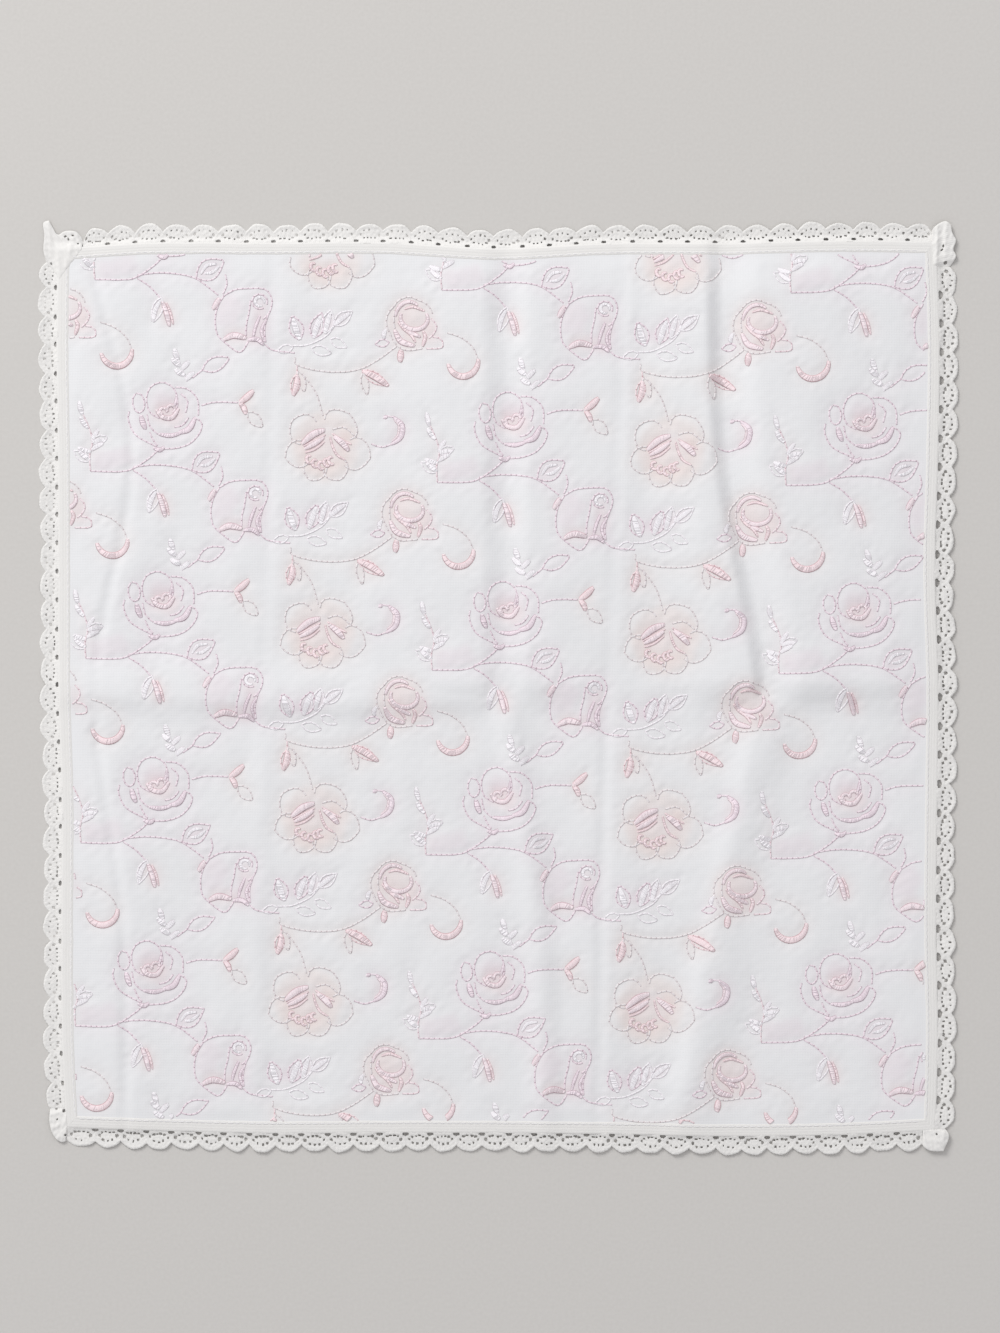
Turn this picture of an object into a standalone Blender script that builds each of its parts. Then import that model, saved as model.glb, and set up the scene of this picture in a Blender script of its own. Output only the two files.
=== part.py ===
"""Handkerchief: a square of white double gauze edged on all four sides with scalloped cotton lace.

It lies flat, face up. +X runs to its right, +Y to its top edge and +Z up from the surface that it
lies on. The origin is the middle of its outline, on that surface. Units are metres.

The cloth is one thin sheet that keeps the soft creases of its storage folds. The lace is one
length in the real thing, turned at each corner. Here each side of it is a solid of its own, parted
from the next along the fold of the corner.
"""

import math

import bmesh
import bpy

MM = 0.001

# ---- Driving dimensions ----
WIDTH = 300 * MM  # over the crests of the lace, left to right
HEIGHT = 304 * MM  # over the crests of the lace, bottom to top
GAP = 0.3 * MM  # between pieces that touch

CLOTH_THICK = 1.2 * MM  # two plies of gauze with the stitching through them
CLOTH_STEP = 24 * MM  # widest cell of the sheet between its folds
EDGE_FLAT = 4.4 * MM  # the sewn border of the sheet, which no fold lifts
EDGE_FADE = 20 * MM  # where a fold has its full height

LACE_WIDE = 11 * MM  # inner line of the heading to the crest of a fan
LACE_THICK = 1.0 * MM
LACE_LAP = 3.6 * MM  # how much of the heading lies on the cloth
HEADING = 4.4 * MM  # the close band that is sewn down
RAMP_END = 6.2 * MM  # where the lace has come down to the surface
NOTCH_DEEP = 2.7 * MM  # crest of a fan to the notch beside it
FAN_ARCS = 3  # straight stretches in half a fan's outer edge
EYELET_WIDE = 2.6 * MM  # the three-cornered hole between two fans
EYELET_DEEP = 1.6 * MM
FOLD_SPACE = 0.34 * MM  # along each side, from its turned end to the fold of the corner

# ---- Sides: how far each one pulls in from the full width or height, in millimetres ----
# The five stations run left to right on a row, and bottom to top on a column.
# name: (runs along x, sign of the outward direction, fans, pulls at the five stations)
SIDES = {
    "lace_top": (True, 1, 30, (1.6, 0.7, 2.4, 0.9, 0.0)),
    "lace_bottom": (True, -1, 32, (2.8, 1.0, 0.9, 0.0, 2.0)),
    "lace_left": (False, -1, 29, (3.3, 1.5, 0.2, 0.0, 1.3)),
    "lace_right": (False, 1, 29, (2.0, 1.5, 1.8, 0.4, 2.3)),
}

# ---- Corners: how the lace is turned, in millimetres out from the heading's inner corner ----
# A place is (out past the column side, out past the row side). The fold of a corner runs from the
# inner corner to its tip. A side's start is how far short of the inner corner its last whole fan
# has its middle, and its edge is the outline from there to the tip.
CORNERS = [
    {
        "row": "lace_top",
        "column": "lace_left",
        "tip": (9.8, 10.6),
        "row_start": 6.4,
        "row_edge": ((-3.0, 6.9), (-0.8, 8.4), (1.6, 8.7), (4.6, 6.9)),
        "column_start": 5.2,
        "column_edge": ((9.0, -2.0), (10.0, 3.0)),
    },
    {
        "row": "lace_top",
        "column": "lace_right",
        "tip": (8.2, 10.9),
        "row_start": 0.6,
        "row_edge": ((3.4, 7.2), (4.2, 9.2)),
        "column_start": 6.2,
        "column_edge": ((9.6, -3.5), (11.0, -0.7), (11.2, 4.4), (9.9, 9.2)),
    },
    {
        "row": "lace_bottom",
        "column": "lace_right",
        "tip": (7.6, 9.9),
        "row_start": 3.1,
        "row_edge": ((0.8, 7.8), (2.0, 8.8), (4.7, 9.8)),
        "column_start": 2.0,
        "column_edge": ((8.0, 2.2), (9.2, 4.7), (9.0, 7.0)),
    },
    {
        "row": "lace_bottom",
        "column": "lace_left",
        "tip": (7.2, 6.8),
        "row_start": 1.5,
        "row_edge": ((3.0, 7.0), (4.6, 7.5)),
        "column_start": 5.9,
        "column_edge": ((8.0, -2.6), (8.8, 1.3), (8.4, 4.4)),
    },
]

# ---- Folds: the creases left by storage, from the top edge to the bottom edge ----
# name: (x at the five stations from the bottom up, in mm, half width in mm,
#        rise below the cross fold in mm, rise above it in mm; a minus is a crease that points down)
FOLDS = {
    "left_margin": ((-121, -122, -123, -125, -127), 2.6, -0.7, -0.5),
    "left_quarter": ((-79, -78, -76, -75, -73), 4.0, 0.8, 0.8),
    "middle": ((8, 7, 2, -1, -1), 4.5, 1.5, -1.3),
    "right_inner": ((34, 36, 37, 40, 42), 4.0, 1.1, 1.2),
    "right_quarter": ((61, 75, 86, 77, 71), 4.0, 1.9, -1.9),
}
CROSS_FOLD_Y = -3.5 * MM  # the fold from left to right
CROSS_FOLD_HALF = 4.5 * MM
CROSS_FOLD_RISE = 1.8 * MM
TURN_OVER = 12 * MM  # the stretch in which a crease changes from pointing up to pointing down

OFFSETS = (-3, -2, -1, 0, 1, 2, 3)  # lines of a fold, in half widths from its crease
RIDGE = (0, 0.12, 0.5, 1, 0.5, 0.12, 0)  # height on those lines where the crease points up
TROUGH = (0, 0.5, 1, 0.15, 1, 0.5, 0)  # and where it points down, between two low shoulders


def clear_scene():
    for old in list(bpy.data.objects):
        bpy.data.objects.remove(old, do_unlink=True)


def material(name, colour, roughness):
    made = bpy.data.materials.new(name)
    made.use_nodes = True
    shader = made.node_tree.nodes["Principled BSDF"]
    shader.inputs["Base Color"].default_value = (*colour, 1)
    shader.inputs["Roughness"].default_value = roughness
    shader.inputs["Metallic"].default_value = 0
    return made


def add_object(name, mesh_in_progress, finish):
    """The finished mesh as a named object, with every face turned outwards."""
    bmesh.ops.recalc_face_normals(mesh_in_progress, faces=mesh_in_progress.faces)
    mesh = bpy.data.meshes.new(name)
    mesh_in_progress.to_mesh(mesh)
    mesh_in_progress.free()
    mesh.materials.append(finish)
    made = bpy.data.objects.new(name, mesh)
    bpy.context.scene.collection.objects.link(made)


def smooth_step(share):
    share = min(max(share, 0), 1)
    return share * share * (3 - 2 * share)


def between_stations(values, share):
    """A smooth line through evenly spaced values, at a share of the way from first to last."""
    place = min(max(share, 0), 1) * (len(values) - 1)
    first = min(int(place), len(values) - 2)
    before, start, end, after = (values[min(max(first + k, 0), len(values) - 1)] for k in (-1, 0, 1, 2))
    step = place - first
    leaving = (step**3 - 2 * step**2 + step) * (end - before) / 2
    arriving = (step**3 - step**2) * (after - start) / 2
    return start + (end - start) * smooth_step(step) + leaving + arriving


# ---- The outline ----


def outer_line(side, along):
    """How far from the middle a side's fans reach, at a place along it."""
    is_row, _, _, pulls = SIDES[side]
    half_length, half_reach = (WIDTH / 2, HEIGHT / 2) if is_row else (HEIGHT / 2, WIDTH / 2)
    return half_reach - between_stations(pulls, along / half_length / 2 + 0.5) * MM


def on_side(side, along, out):
    """(x, y) of a point of a side: a distance along it, and out from the heading's inner line."""
    is_row, sign, _, _ = SIDES[side]
    across = sign * (outer_line(side, along) - LACE_WIDE + out)
    return (along, across) if is_row else (across, along)


def corner_point(row, column, out):
    """(x, y) where lines of the row and column sides meet, both the same distance out."""
    x, y = SIDES[column][1] * WIDTH / 2, SIDES[row][1] * HEIGHT / 2
    for _ in range(4):
        x, y = on_side(column, y, out)[0], on_side(row, x, out)[1]
    return x, y


# ---- The cloth ----


def from_edge(x, y):
    """How far a point of the cloth is inside its nearest edge."""
    spaces = []
    for side, (is_row, sign, _, _) in SIDES.items():
        along, across = (x, y) if is_row else (y, x)
        spaces.append(outer_line(side, along) - sign * across)
    return min(spaces) - (LACE_WIDE - LACE_LAP)


def fold_line(name, y):
    """x of a fold's crease at a height on the cloth."""
    return between_stations(FOLDS[name][0], y / HEIGHT + 0.5) * MM


def profile(heights, offset):
    """Height of a fold's cross-section, at a number of half widths from its crease."""
    place = min(max(offset - OFFSETS[0], 0), len(OFFSETS) - 1)
    first = min(int(place), len(OFFSETS) - 2)
    return heights[first] + (heights[first + 1] - heights[first]) * (place - first)


def fold_height(offset, rise):
    return profile(RIDGE if rise > 0 else TROUGH, offset) * abs(rise)


def lift(x, y):
    """How high the folds hold the cloth off the surface."""
    above = smooth_step((y - CROSS_FOLD_Y) / TURN_OVER + 0.5)
    highest = fold_height((y - CROSS_FOLD_Y) / CROSS_FOLD_HALF, CROSS_FOLD_RISE)
    for name, (_, half, rise_below, rise_above) in FOLDS.items():
        offset = (x - fold_line(name, y)) / (half * MM)
        upper = fold_height(offset, rise_above * MM) * above
        lower = fold_height(offset, rise_below * MM) * (1 - above)
        highest = max(highest, upper + lower)
    inside = from_edge(x, y)
    return highest * smooth_step((inside - EDGE_FLAT) / (EDGE_FADE - EDGE_FLAT))


def cell_counts(lines):
    """How many cells each space between rising places takes."""
    return [math.ceil((end - start) / CLOTH_STEP) for start, end in zip(lines, lines[1:])]


def split(lines, counts):
    """The same places, with each space between them shared evenly by its cells."""
    places = [lines[0]]
    for start, end, count in zip(lines, lines[1:], counts):
        places += [start + (end - start) * (i + 1) / count for i in range(count)]
    return places


def row_places():
    """Shares of the way from the bottom edge to the top edge, close together at the cross fold."""
    low, high = -HEIGHT / 2 + LACE_WIDE - LACE_LAP, HEIGHT / 2 - LACE_WIDE + LACE_LAP
    fold = [CROSS_FOLD_Y + k * CROSS_FOLD_HALF for k in OFFSETS]
    lines = [low, low + EDGE_FLAT, low + EDGE_FADE, *fold, high - EDGE_FADE, high - EDGE_FLAT, high]
    return [(y - low) / (high - low) for y in split(lines, cell_counts(lines))]


def fold_columns(y):
    """x of the sheet's two edges and of every fold's lines between them, at one height."""
    left, right = on_side("lace_left", y, LACE_LAP)[0], on_side("lace_right", y, LACE_LAP)[0]
    lines = [fold_line(name, y) + k * FOLDS[name][1] * MM for name in FOLDS for k in OFFSETS]
    return [left, left + EDGE_FLAT, *lines, right - EDGE_FADE, right - EDGE_FLAT, right]


def column_places(y):
    """x of each column of the sheet at one height, with others put into the wide spaces."""
    return split(fold_columns(y), cell_counts(fold_columns(0)))


def sheet_points():
    """Rows of (x, y) over the cloth, from its bottom edge to its top edge."""
    rows = []
    for share in row_places():
        level = (share - 0.5) * (HEIGHT - 2 * (LACE_WIDE - LACE_LAP))
        row = []
        for x in column_places(level):
            low, high = (on_side(side, x, LACE_LAP)[1] for side in ("lace_bottom", "lace_top"))
            row.append((x, low + (high - low) * share))
        rows.append(row)
    return rows


def make_cloth(finish):
    sheet = bmesh.new()
    rows = sheet_points()
    under = [[sheet.verts.new((x, y, lift(x, y))) for x, y in row] for row in rows]
    over = [[sheet.verts.new((x, y, lift(x, y) + CLOTH_THICK)) for x, y in row] for row in rows]
    last_row, last_column = len(rows) - 1, len(rows[0]) - 1
    for i in range(last_row):
        for j in range(last_column):
            for layer in (under, over):
                sheet.faces.new((layer[i][j], layer[i][j + 1], layer[i + 1][j + 1], layer[i + 1][j]))
    rim = [(0, j) for j in range(last_column)]
    rim += [(i, last_column) for i in range(last_row)]
    rim += [(last_row, j) for j in range(last_column, 0, -1)]
    rim += [(i, 0) for i in range(last_row, 0, -1)]
    for (i, j), (m, n) in zip(rim, rim[1:] + rim[:1]):
        sheet.faces.new((under[i][j], under[m][n], over[m][n], over[i][j]))
    add_object("cloth", sheet, finish)


# ---- The lace ----


def lace_level(out):
    """Underside of the lace: on the cloth at the heading, and on the surface at the fans."""
    down = (out - HEADING) / (RAMP_END - HEADING)
    return (CLOTH_THICK + GAP) * (1 - min(max(down, 0), 1))


def half_fan(middle, notch):
    """Places on a fan's outer edge: an arc from the middle of the fan to just short of a notch."""
    reach, depth = notch[0] - middle, LACE_WIDE - notch[1]
    radius = (reach**2 + depth**2) / (2 * depth)
    steps = [reach * i / FAN_ARCS for i in range(FAN_ARCS)]
    return [(middle + step, LACE_WIDE - radius + math.sqrt(radius**2 - step**2)) for step in steps]


class Strip:
    """One side of the lace, built as faces of points (along, out) and their copies above."""

    def __init__(self, side):
        self.side = side
        self.mesh = bmesh.new()
        self.points = {}

    def point(self, along, out):
        """The lower and upper vertex at a place, made once."""
        key = (round(along, 7), round(out, 7))
        if key not in self.points:
            x, y = on_side(self.side, along, out)
            low = lace_level(out)
            heights = (low, low + LACE_THICK)
            self.points[key] = tuple(self.mesh.verts.new((x, y, z)) for z in heights)
        return self.points[key]

    def slab(self, outline):
        """The lower and upper face of one stretch of lace."""
        ends = [self.point(*place) for place in outline]
        for layer in (0, 1):
            self.mesh.faces.new([pair[layer] for pair in ends])

    def wall(self, line):
        """The upright faces along a line of places."""
        ends = [self.point(*place) for place in line]
        for (low_a, high_a), (low_b, high_b) in zip(ends, ends[1:]):
            self.mesh.faces.new((low_a, low_b, high_b, high_a))


def add_repeat(strip, start, pitch):
    """From the middle of one fan to the middle of the next, with the eyelet and notch between."""
    notch = (start + pitch / 2, LACE_WIDE - NOTCH_DEEP)
    apex = (notch[0], HEADING + EYELET_DEEP)
    base = [(notch[0] + side * EYELET_WIDE / 2, HEADING) for side in (-1, 1)]
    inner = [(start, 0), (start + pitch, 0)]
    strip.slab([*inner, (start + pitch, HEADING), base[1], base[0], (start, HEADING)])
    strip.wall(inner)
    strip.wall([base[0], base[1], apex, base[0]])
    for middle, corner in ((start, base[0]), (start + pitch, base[1])):
        edge = half_fan(middle, notch)
        strip.slab([(middle, HEADING), corner, apex])
        strip.slab([(middle, HEADING), apex, (middle, RAMP_END)])
        strip.slab([(middle, RAMP_END), apex, notch, *reversed(edge)])
        strip.wall([*edge, notch])


def add_end(strip, station, corner, outward, tip, edge):
    """The turned end of a side, from the middle of its last whole fan to the fold of the corner.

    The tip and the edge are (along, out) places, with along measured from the heading's inner
    corner the way that outward points.
    """
    slope = tip[0] / tip[1]
    inside, bend, foot, end = (
        (corner + outward * (slope * out - FOLD_SPACE), out) for out in (0, HEADING, RAMP_END, tip[1])
    )
    middle = [(station, out) for out in (0, HEADING, RAMP_END)]
    outline = [(corner + outward * along, out) for along, out in edge]
    outline = half_fan(station, outline[0]) + outline
    strip.slab([inside, middle[0], middle[1], bend])
    strip.slab([bend, middle[1], middle[2], foot])
    strip.slab([foot, middle[2], *outline, end])
    strip.wall([middle[0], inside, bend, foot, end, *reversed(outline)])


def corner_end(side, corner):
    """What one corner gives one side: where its heading turns, its start, its tip and its edge."""
    is_row = SIDES[side][0]
    kind, other = ("row", corner["column"]) if is_row else ("column", corner["row"])
    turn = corner_point(corner["row"], corner["column"], 0)[0 if is_row else 1]
    places = [corner["tip"], *corner[kind + "_edge"]]
    places = [(a * MM, b * MM) if is_row else (b * MM, a * MM) for a, b in places]
    return SIDES[other][1], turn, corner[kind + "_start"] * MM, places[0], places[1:]


def make_lace_side(side, finish):
    strip = Strip(side)
    fans = SIDES[side][2]
    ends = [corner_end(side, corner) for corner in CORNERS if side in corner.values()]
    ends.sort(key=lambda end: end[0])
    first, last = (turn - outward * start for outward, turn, start, _, _ in ends)
    pitch = (last - first) / fans
    for i in range(fans):
        add_repeat(strip, first + pitch * i, pitch)
    for station, (outward, turn, _, tip, edge) in zip((first, first + pitch * fans), ends):
        add_end(strip, station, turn, outward, tip, edge)
    add_object(side, strip.mesh, finish)


def main():
    clear_scene()
    gauze = material("cotton_gauze", (0.83, 0.81, 0.84), 0.9)
    lace_cotton = material("lace_cotton", (0.80, 0.78, 0.72), 0.85)
    make_cloth(gauze)
    for side in SIDES:
        make_lace_side(side, lace_cotton)


main()
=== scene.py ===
"""Handkerchief: its gauze, embroidery and lace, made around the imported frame.

The cloth is white cotton double gauze, stitched through in pastel thread and edged with scalloped
cotton lace. Lengths are millimetres, and MM turns them into metres where a mesh is made.
"""

import math

import bpy
import numpy as np
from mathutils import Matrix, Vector
from mathutils.kdtree import KDTree


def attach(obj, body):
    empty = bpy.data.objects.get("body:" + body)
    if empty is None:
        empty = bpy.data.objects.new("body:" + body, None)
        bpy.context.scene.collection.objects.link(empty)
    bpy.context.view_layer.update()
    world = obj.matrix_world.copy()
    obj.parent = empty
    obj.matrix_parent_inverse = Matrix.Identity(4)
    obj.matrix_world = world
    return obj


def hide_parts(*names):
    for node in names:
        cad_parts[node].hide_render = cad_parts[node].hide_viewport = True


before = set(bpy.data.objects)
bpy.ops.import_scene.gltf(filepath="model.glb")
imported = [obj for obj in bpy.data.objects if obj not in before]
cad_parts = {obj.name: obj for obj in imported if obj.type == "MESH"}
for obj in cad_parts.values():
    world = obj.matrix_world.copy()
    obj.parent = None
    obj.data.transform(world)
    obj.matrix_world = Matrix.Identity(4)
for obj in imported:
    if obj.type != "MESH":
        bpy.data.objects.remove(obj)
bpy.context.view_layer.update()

MM = 0.001
RNG = np.random.default_rng(7)

# ---- Sizes, in millimetres ----
WIDTH, HEIGHT = 300.0, 304.0  # over the crests of the lace
LACE_WIDE = 11.0  # from the lace's inner line to the crest of a fan
LACE_LAP = 3.6  # how much of that lies on the cloth
CLOTH_IN = LACE_WIDE - LACE_LAP  # from the crests in to the cloth's edge
CLOTH_WIDTH, CLOTH_HEIGHT = WIDTH - 2 * CLOTH_IN, HEIGHT - 2 * CLOTH_IN
# Distances out from the lace's inner line
HEADING_FROM, HEADING = 0.6, 4.4  # the close band that is sewn down, from and to
RAMP_START, RAMP_END = 3.5, 6.7  # where the lace comes down from the cloth to the surface

# ---- Sides ----
# name: (runs along x, outward sign, spaces between the middles of its whole fans, how far it pulls in from
# the full size at nine stations from left to right or from the bottom up)
SIDES = {
    "top": (True, 1, 30, (3.0, 0.8, 0.9, 0.7, 2.7, 1.0, 1.0, 0.15, 0.5)),
    "bottom": (True, -1, 32, (1.9, 0.8, -0.1, 0.05, 0.0, -0.35, -1.1, -0.6, 1.1)),
    "left": (False, -1, 29, (3.3, 1.7, 1.5, 1.6, 0.6, 0.5, 0.4, -0.05, 0.4)),
    "right": (False, 1, 29, (0.7, -0.2, 0.4, 0.0, -0.3, 0.7, -0.3, -0.8, 0.4)),
}

# ---- Corners: how the lace is gathered or folded where it turns ----
# A place is (out past the column side, out past the row side), from where their inner lines meet. A side's
# start is how far short of there its last whole fan has its middle, and its edge is the outline from that
# fan's notch to the tip. The gathered lace starts from the inner line, under the headings, and high is how
# far it stands up. A fold is (start, end, height), and a hole is the two numbers of its place and its radius.
CORNERS = [
    {
        "row": "top",
        "column": "left",
        "tip": (7.4, 13.4),
        "row_start": 7.3,
        "row_edge": (
            (-3.8, 6.3), (-3.3, 7.9), (-1.7, 9.6), (0.4, 10.1),
            (2.5, 9.8), (4.3, 8.8), (5.6, 10.0), (6.6, 12.0),
        ),
        "column_start": 4.0,
        "column_edge": ((8.3, -0.1), (9.2, 3.6), (8.9, 8.6), (9.3, 11.6), (9.0, 12.9)),
        "inner": (
            (-3.6, 5.4), (-3.3, 3.6), (-2.2, 2.0), (-0.1, -0.6),
            (2.2, -4.0), (3.6, -5.8), (5.2, -4.6),
        ),
        "high": 0.35,
        "folds": (((7.6, 12.4), (6.2, 3.0), 0.3), ((-0.6, 7.6), (1.6, -1.8), 0.2)),
        "holes": (
            (-0.4, 8.5, 0.28), (2.0, 8.2, 0.28), (1.0, 7.3, 0.25),
            (-2.2, 5.8, 0.25), (6.5, -0.8, 0.3),
        ),
    },
    {
        "row": "top",
        "column": "right",
        "tip": (7.4, 11.1),
        "row_start": 0.4,
        "row_edge": ((2.8, 7.6), (3.4, 8.9), (5.0, 10.2), (6.4, 10.9)),
        "column_start": 8.2,
        "column_edge": (
            (8.7, -3.8), (9.9, -2.2), (10.7, -0.2), (9.9, 2.0),
            (10.7, 4.8), (9.5, 7.4), (9.2, 9.2), (8.6, 10.4),
        ),
        "inner": ((2.7, 4.2), (3.0, 3.2), (3.1, -2.0), (3.4, -3.8)),
        "high": 0.85,
        "folds": (((4.3, -3.4), (4.6, 9.0), 0.4), ((7.2, 0.0), (7.6, 10.0), 0.3)),
        "holes": ((7.3, -2.5, 0.5), (6.5, 2.9, 0.3), (6.1, 1.7, 0.25)),
    },
    {
        "row": "bottom",
        "column": "right",
        "tip": (7.0, 11.1),
        "row_start": 4.2,
        "row_edge": ((0.05, 9.0), (0.9, 10.0), (2.4, 10.9), (4.6, 11.2)),
        "column_start": 0.6,
        "column_edge": ((7.7, 4.0), (8.6, 5.3), (8.8, 6.7), (8.2, 8.4), (7.5, 9.8)),
        "inner": ((0.2, 4.2), (3.9, 4.1), (4.1, 3.9)),
        "high": 0.8,
        "folds": (((3.4, 4.6), (6.6, 9.4), 0.35), ((7.4, 5.0), (6.4, 8.0), 0.25)),
        "holes": ((4.7, 5.5, 0.3),),
    },
    {
        "row": "bottom",
        "column": "left",
        "tip": (7.5, 8.2),
        "row_start": 0.7,
        "row_edge": ((4.05, 8.7), (5.4, 9.2), (6.5, 8.9)),
        "column_start": 5.6,
        "column_edge": ((9.6, -2.0), (9.8, 0.4), (9.8, 2.5), (9.3, 5.0), (8.5, 6.9)),
        "inner": ((3.7, 4.2), (3.9, 3.9), (4.0, -2.0)),
        "high": 0.5,
        "folds": (((2.6, 4.8), (6.4, 7.4), 0.3), ((4.6, 2.2), (8.6, 4.6), 0.2)),
        "holes": ((5.0, -1.1, 0.55), (7.5, -1.6, 0.3), (7.2, 1.7, 0.25), (4.6, 6.8, 0.3)),
    },
]

# ---- Folds: the creases of a cloth that was stored folded ----
# name: (x at five stations from the bottom up, half width, the right slope's width against the left one's,
# rise below the cross fold, rise above it), where a rise of less than 0 is a valley
FOLDS = {
    "left_margin": ((-121, -122, -131, -119, -134), 2.6, 1.0, -0.6, -0.55),
    "left_quarter": ((-79, -78, -76, -74, -73), 3.0, 1.0, 0.25, -0.25),
    "middle_below": ((15.5, 13, 3, 3, 3), 4.2, 1.0, 1.5, 0.0),
    "middle_above": ((2.5, 2.5, 2.5, 3, 3), 7.2, 1.0, 0.0, -1.6),
    "right_inner": ((33, 34, 36, 39, 41), 2.8, 1.0, -0.5, -0.6),
    "right_quarter_below": ((60, 72, 87, 90, 90), 4.6, 1.9, 1.65, 0.0),
    "right_quarter_above": ((88, 88, 88, 75, 73), 4.8, 2.3, 0.0, -2.75),
}
CROSS_FOLD_Y = -3.5
CROSS_FOLD_HALF = 4.5
CROSS_FOLD_RISE = 1.2
CROSS_FOLD_STRENGTH = (0.9, 1.0, 1.0, 0.9, 0.45, 0.25, 0.6, 0.5)  # left to right
CROSS_FOLD_SWAY, CROSS_FOLD_SWING = 1.2, 31  # how far it wanders up and down, and a sixth of a full swing
TURN_OVER = 12.0  # the stretch in which a crease changes from a valley to a ridge
FLATTENED = 0.45  # share of a fold's height left under the sewn border
FLATTENED_OVER = 16  # and how far in from the edge it is back in full
CROSSING_SHARE = 0.35  # share of the lower fold's height that it adds where two cross
# In half widths of a fold that points down: how far from its crease its shoulders are at their highest,
# and how wide they are towards the crease and away from it
SHOULDER_AT, SHOULDER_IN, SHOULDER_OUT = 1.15, 0.72, 3.6


# ---- Numbers, colours and lines ----


def hexed(code):
    """An sRGB hex colour as linear RGBA."""
    shares = [int(code[i : i + 2], 16) / 255 for i in (1, 3, 5)]
    return tuple(s / 12.92 if s <= 0.04045 else ((s + 0.055) / 1.055) ** 2.4 for s in shares) + (1.0,)


def smooth_step(share):
    """0 up to 1 with level ends, as share goes from 0 to 1."""
    share = np.clip(share, 0, 1)
    return share * share * (3 - 2 * share)


def bell(distance, wide):
    """1 at no distance, falling smoothly away over a width on both sides."""
    return np.exp(-((distance / wide) ** 2))


def between_stations(values, share):
    """A smooth line through evenly spaced values, at shares of the way from first to last."""
    values = np.asarray(values, float)
    place = np.clip(share, 0, 1) * (len(values) - 1)
    first = np.minimum(place.astype(int), len(values) - 2)
    before, start, end, after = (values[np.clip(first + k, 0, len(values) - 1)] for k in (-1, 0, 1, 2))
    step = place - first
    leaving = (step**3 - 2 * step**2 + step) * (end - before) / 2
    arriving = (step**3 - step**2) * (after - start) / 2
    return start + (end - start) * smooth_step(step) + leaving + arriving


def ripples(x, y, length, seed, stretch=1.0, waves=18):
    """Smooth uneven ground from -1 to 1: a sum of waves about one length, drawn out along y by stretch."""
    random = np.random.default_rng(seed)
    total = np.zeros(np.broadcast(x, y).shape)
    for turn, size, phase in random.uniform((0, 0.7, 0), (math.pi, 1.4, 2 * math.pi), (waves, 3)):
        pace = 2 * math.pi / (length * size)
        total += np.sin(pace * (x * math.cos(turn) + y * math.sin(turn) / stretch) + phase)
    return total / math.sqrt(waves)


# ---- The outline ----


def outer_line(side, along):
    """How far out the crests of a side are, at places along it."""
    is_row, _, _, pulls = SIDES[side]
    half_length, half_reach = (WIDTH / 2, HEIGHT / 2) if is_row else (HEIGHT / 2, WIDTH / 2)
    return half_reach - between_stations(pulls, np.asarray(along, float) / half_length / 2 + 0.5)


def on_side(side, along, out):
    """x and y of places on a side: along it, and out from its inner line."""
    is_row, sign, _, _ = SIDES[side]
    across = sign * (outer_line(side, along) - LACE_WIDE + out)
    along = along + np.zeros_like(across)
    return (along, across) if is_row else (across, along)


def corner_point(row, column, out):
    """x and y where lines of two sides meet, both that far out from their inner lines."""
    x, y = SIDES[column][1] * WIDTH / 2, SIDES[row][1] * HEIGHT / 2
    for _ in range(4):
        x, y = float(on_side(column, y, out)[0]), float(on_side(row, x, out)[1])
    return x, y


def from_edge(x, y):
    """How far places are inside the nearest edge of the cloth."""
    spaces = []
    for side, (is_row, sign, _, _) in SIDES.items():
        along, across = (x, y) if is_row else (y, x)
        spaces.append(outer_line(side, along) - sign * across)
    return np.min(spaces, axis=0) - CLOTH_IN


# ---- The folds ----


def ridge(offset):
    """A crease that points up."""
    return np.exp(-0.75 * offset**2)


def trough(offset):
    """A crease that points down, between two low shoulders that fall away gently."""
    past = np.abs(offset) - SHOULDER_AT
    return bell(past, np.where(past > 0, SHOULDER_OUT, SHOULDER_IN))


def fold_height(offset, rise):
    """Height of a fold, at a number of half widths from its crease."""
    return (ridge(offset) if rise > 0 else trough(offset)) * abs(rise)


def lift(x, y):
    """How high the folds hold the cloth off the surface."""
    x, y = np.asarray(x, float), np.asarray(y, float)
    above = smooth_step((y - CROSS_FOLD_Y) / TURN_OVER + 0.5)
    strength = between_stations(CROSS_FOLD_STRENGTH, x / WIDTH + 0.5)
    fold_y = CROSS_FOLD_Y + CROSS_FOLD_SWAY * np.sin(x / CROSS_FOLD_SWING)
    offset = (y - fold_y) / CROSS_FOLD_HALF
    offset = offset * np.where(offset > 0, 0.5, 1)  # its upper slope is the gentle one
    highest = fold_height(offset, CROSS_FOLD_RISE) * strength
    for places, half, right_slope, rise_below, rise_above in FOLDS.values():
        offset = (x - between_stations(places, y / HEIGHT + 0.5)) / half
        offset = offset / np.where(offset > 0, right_slope, 1)
        height = fold_height(offset, rise_above) * above + fold_height(offset, rise_below) * (1 - above)
        highest = np.maximum(highest, height) + CROSSING_SHARE * np.minimum(highest, height)
    return highest * (FLATTENED + (1 - FLATTENED) * smooth_step(from_edge(x, y) / FLATTENED_OVER))


# ---- Meshes from arrays ----

TUBE_SIDES = 4  # a stitch is too fine for more
TINY = 1e-9  # keeps a length off 0


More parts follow.
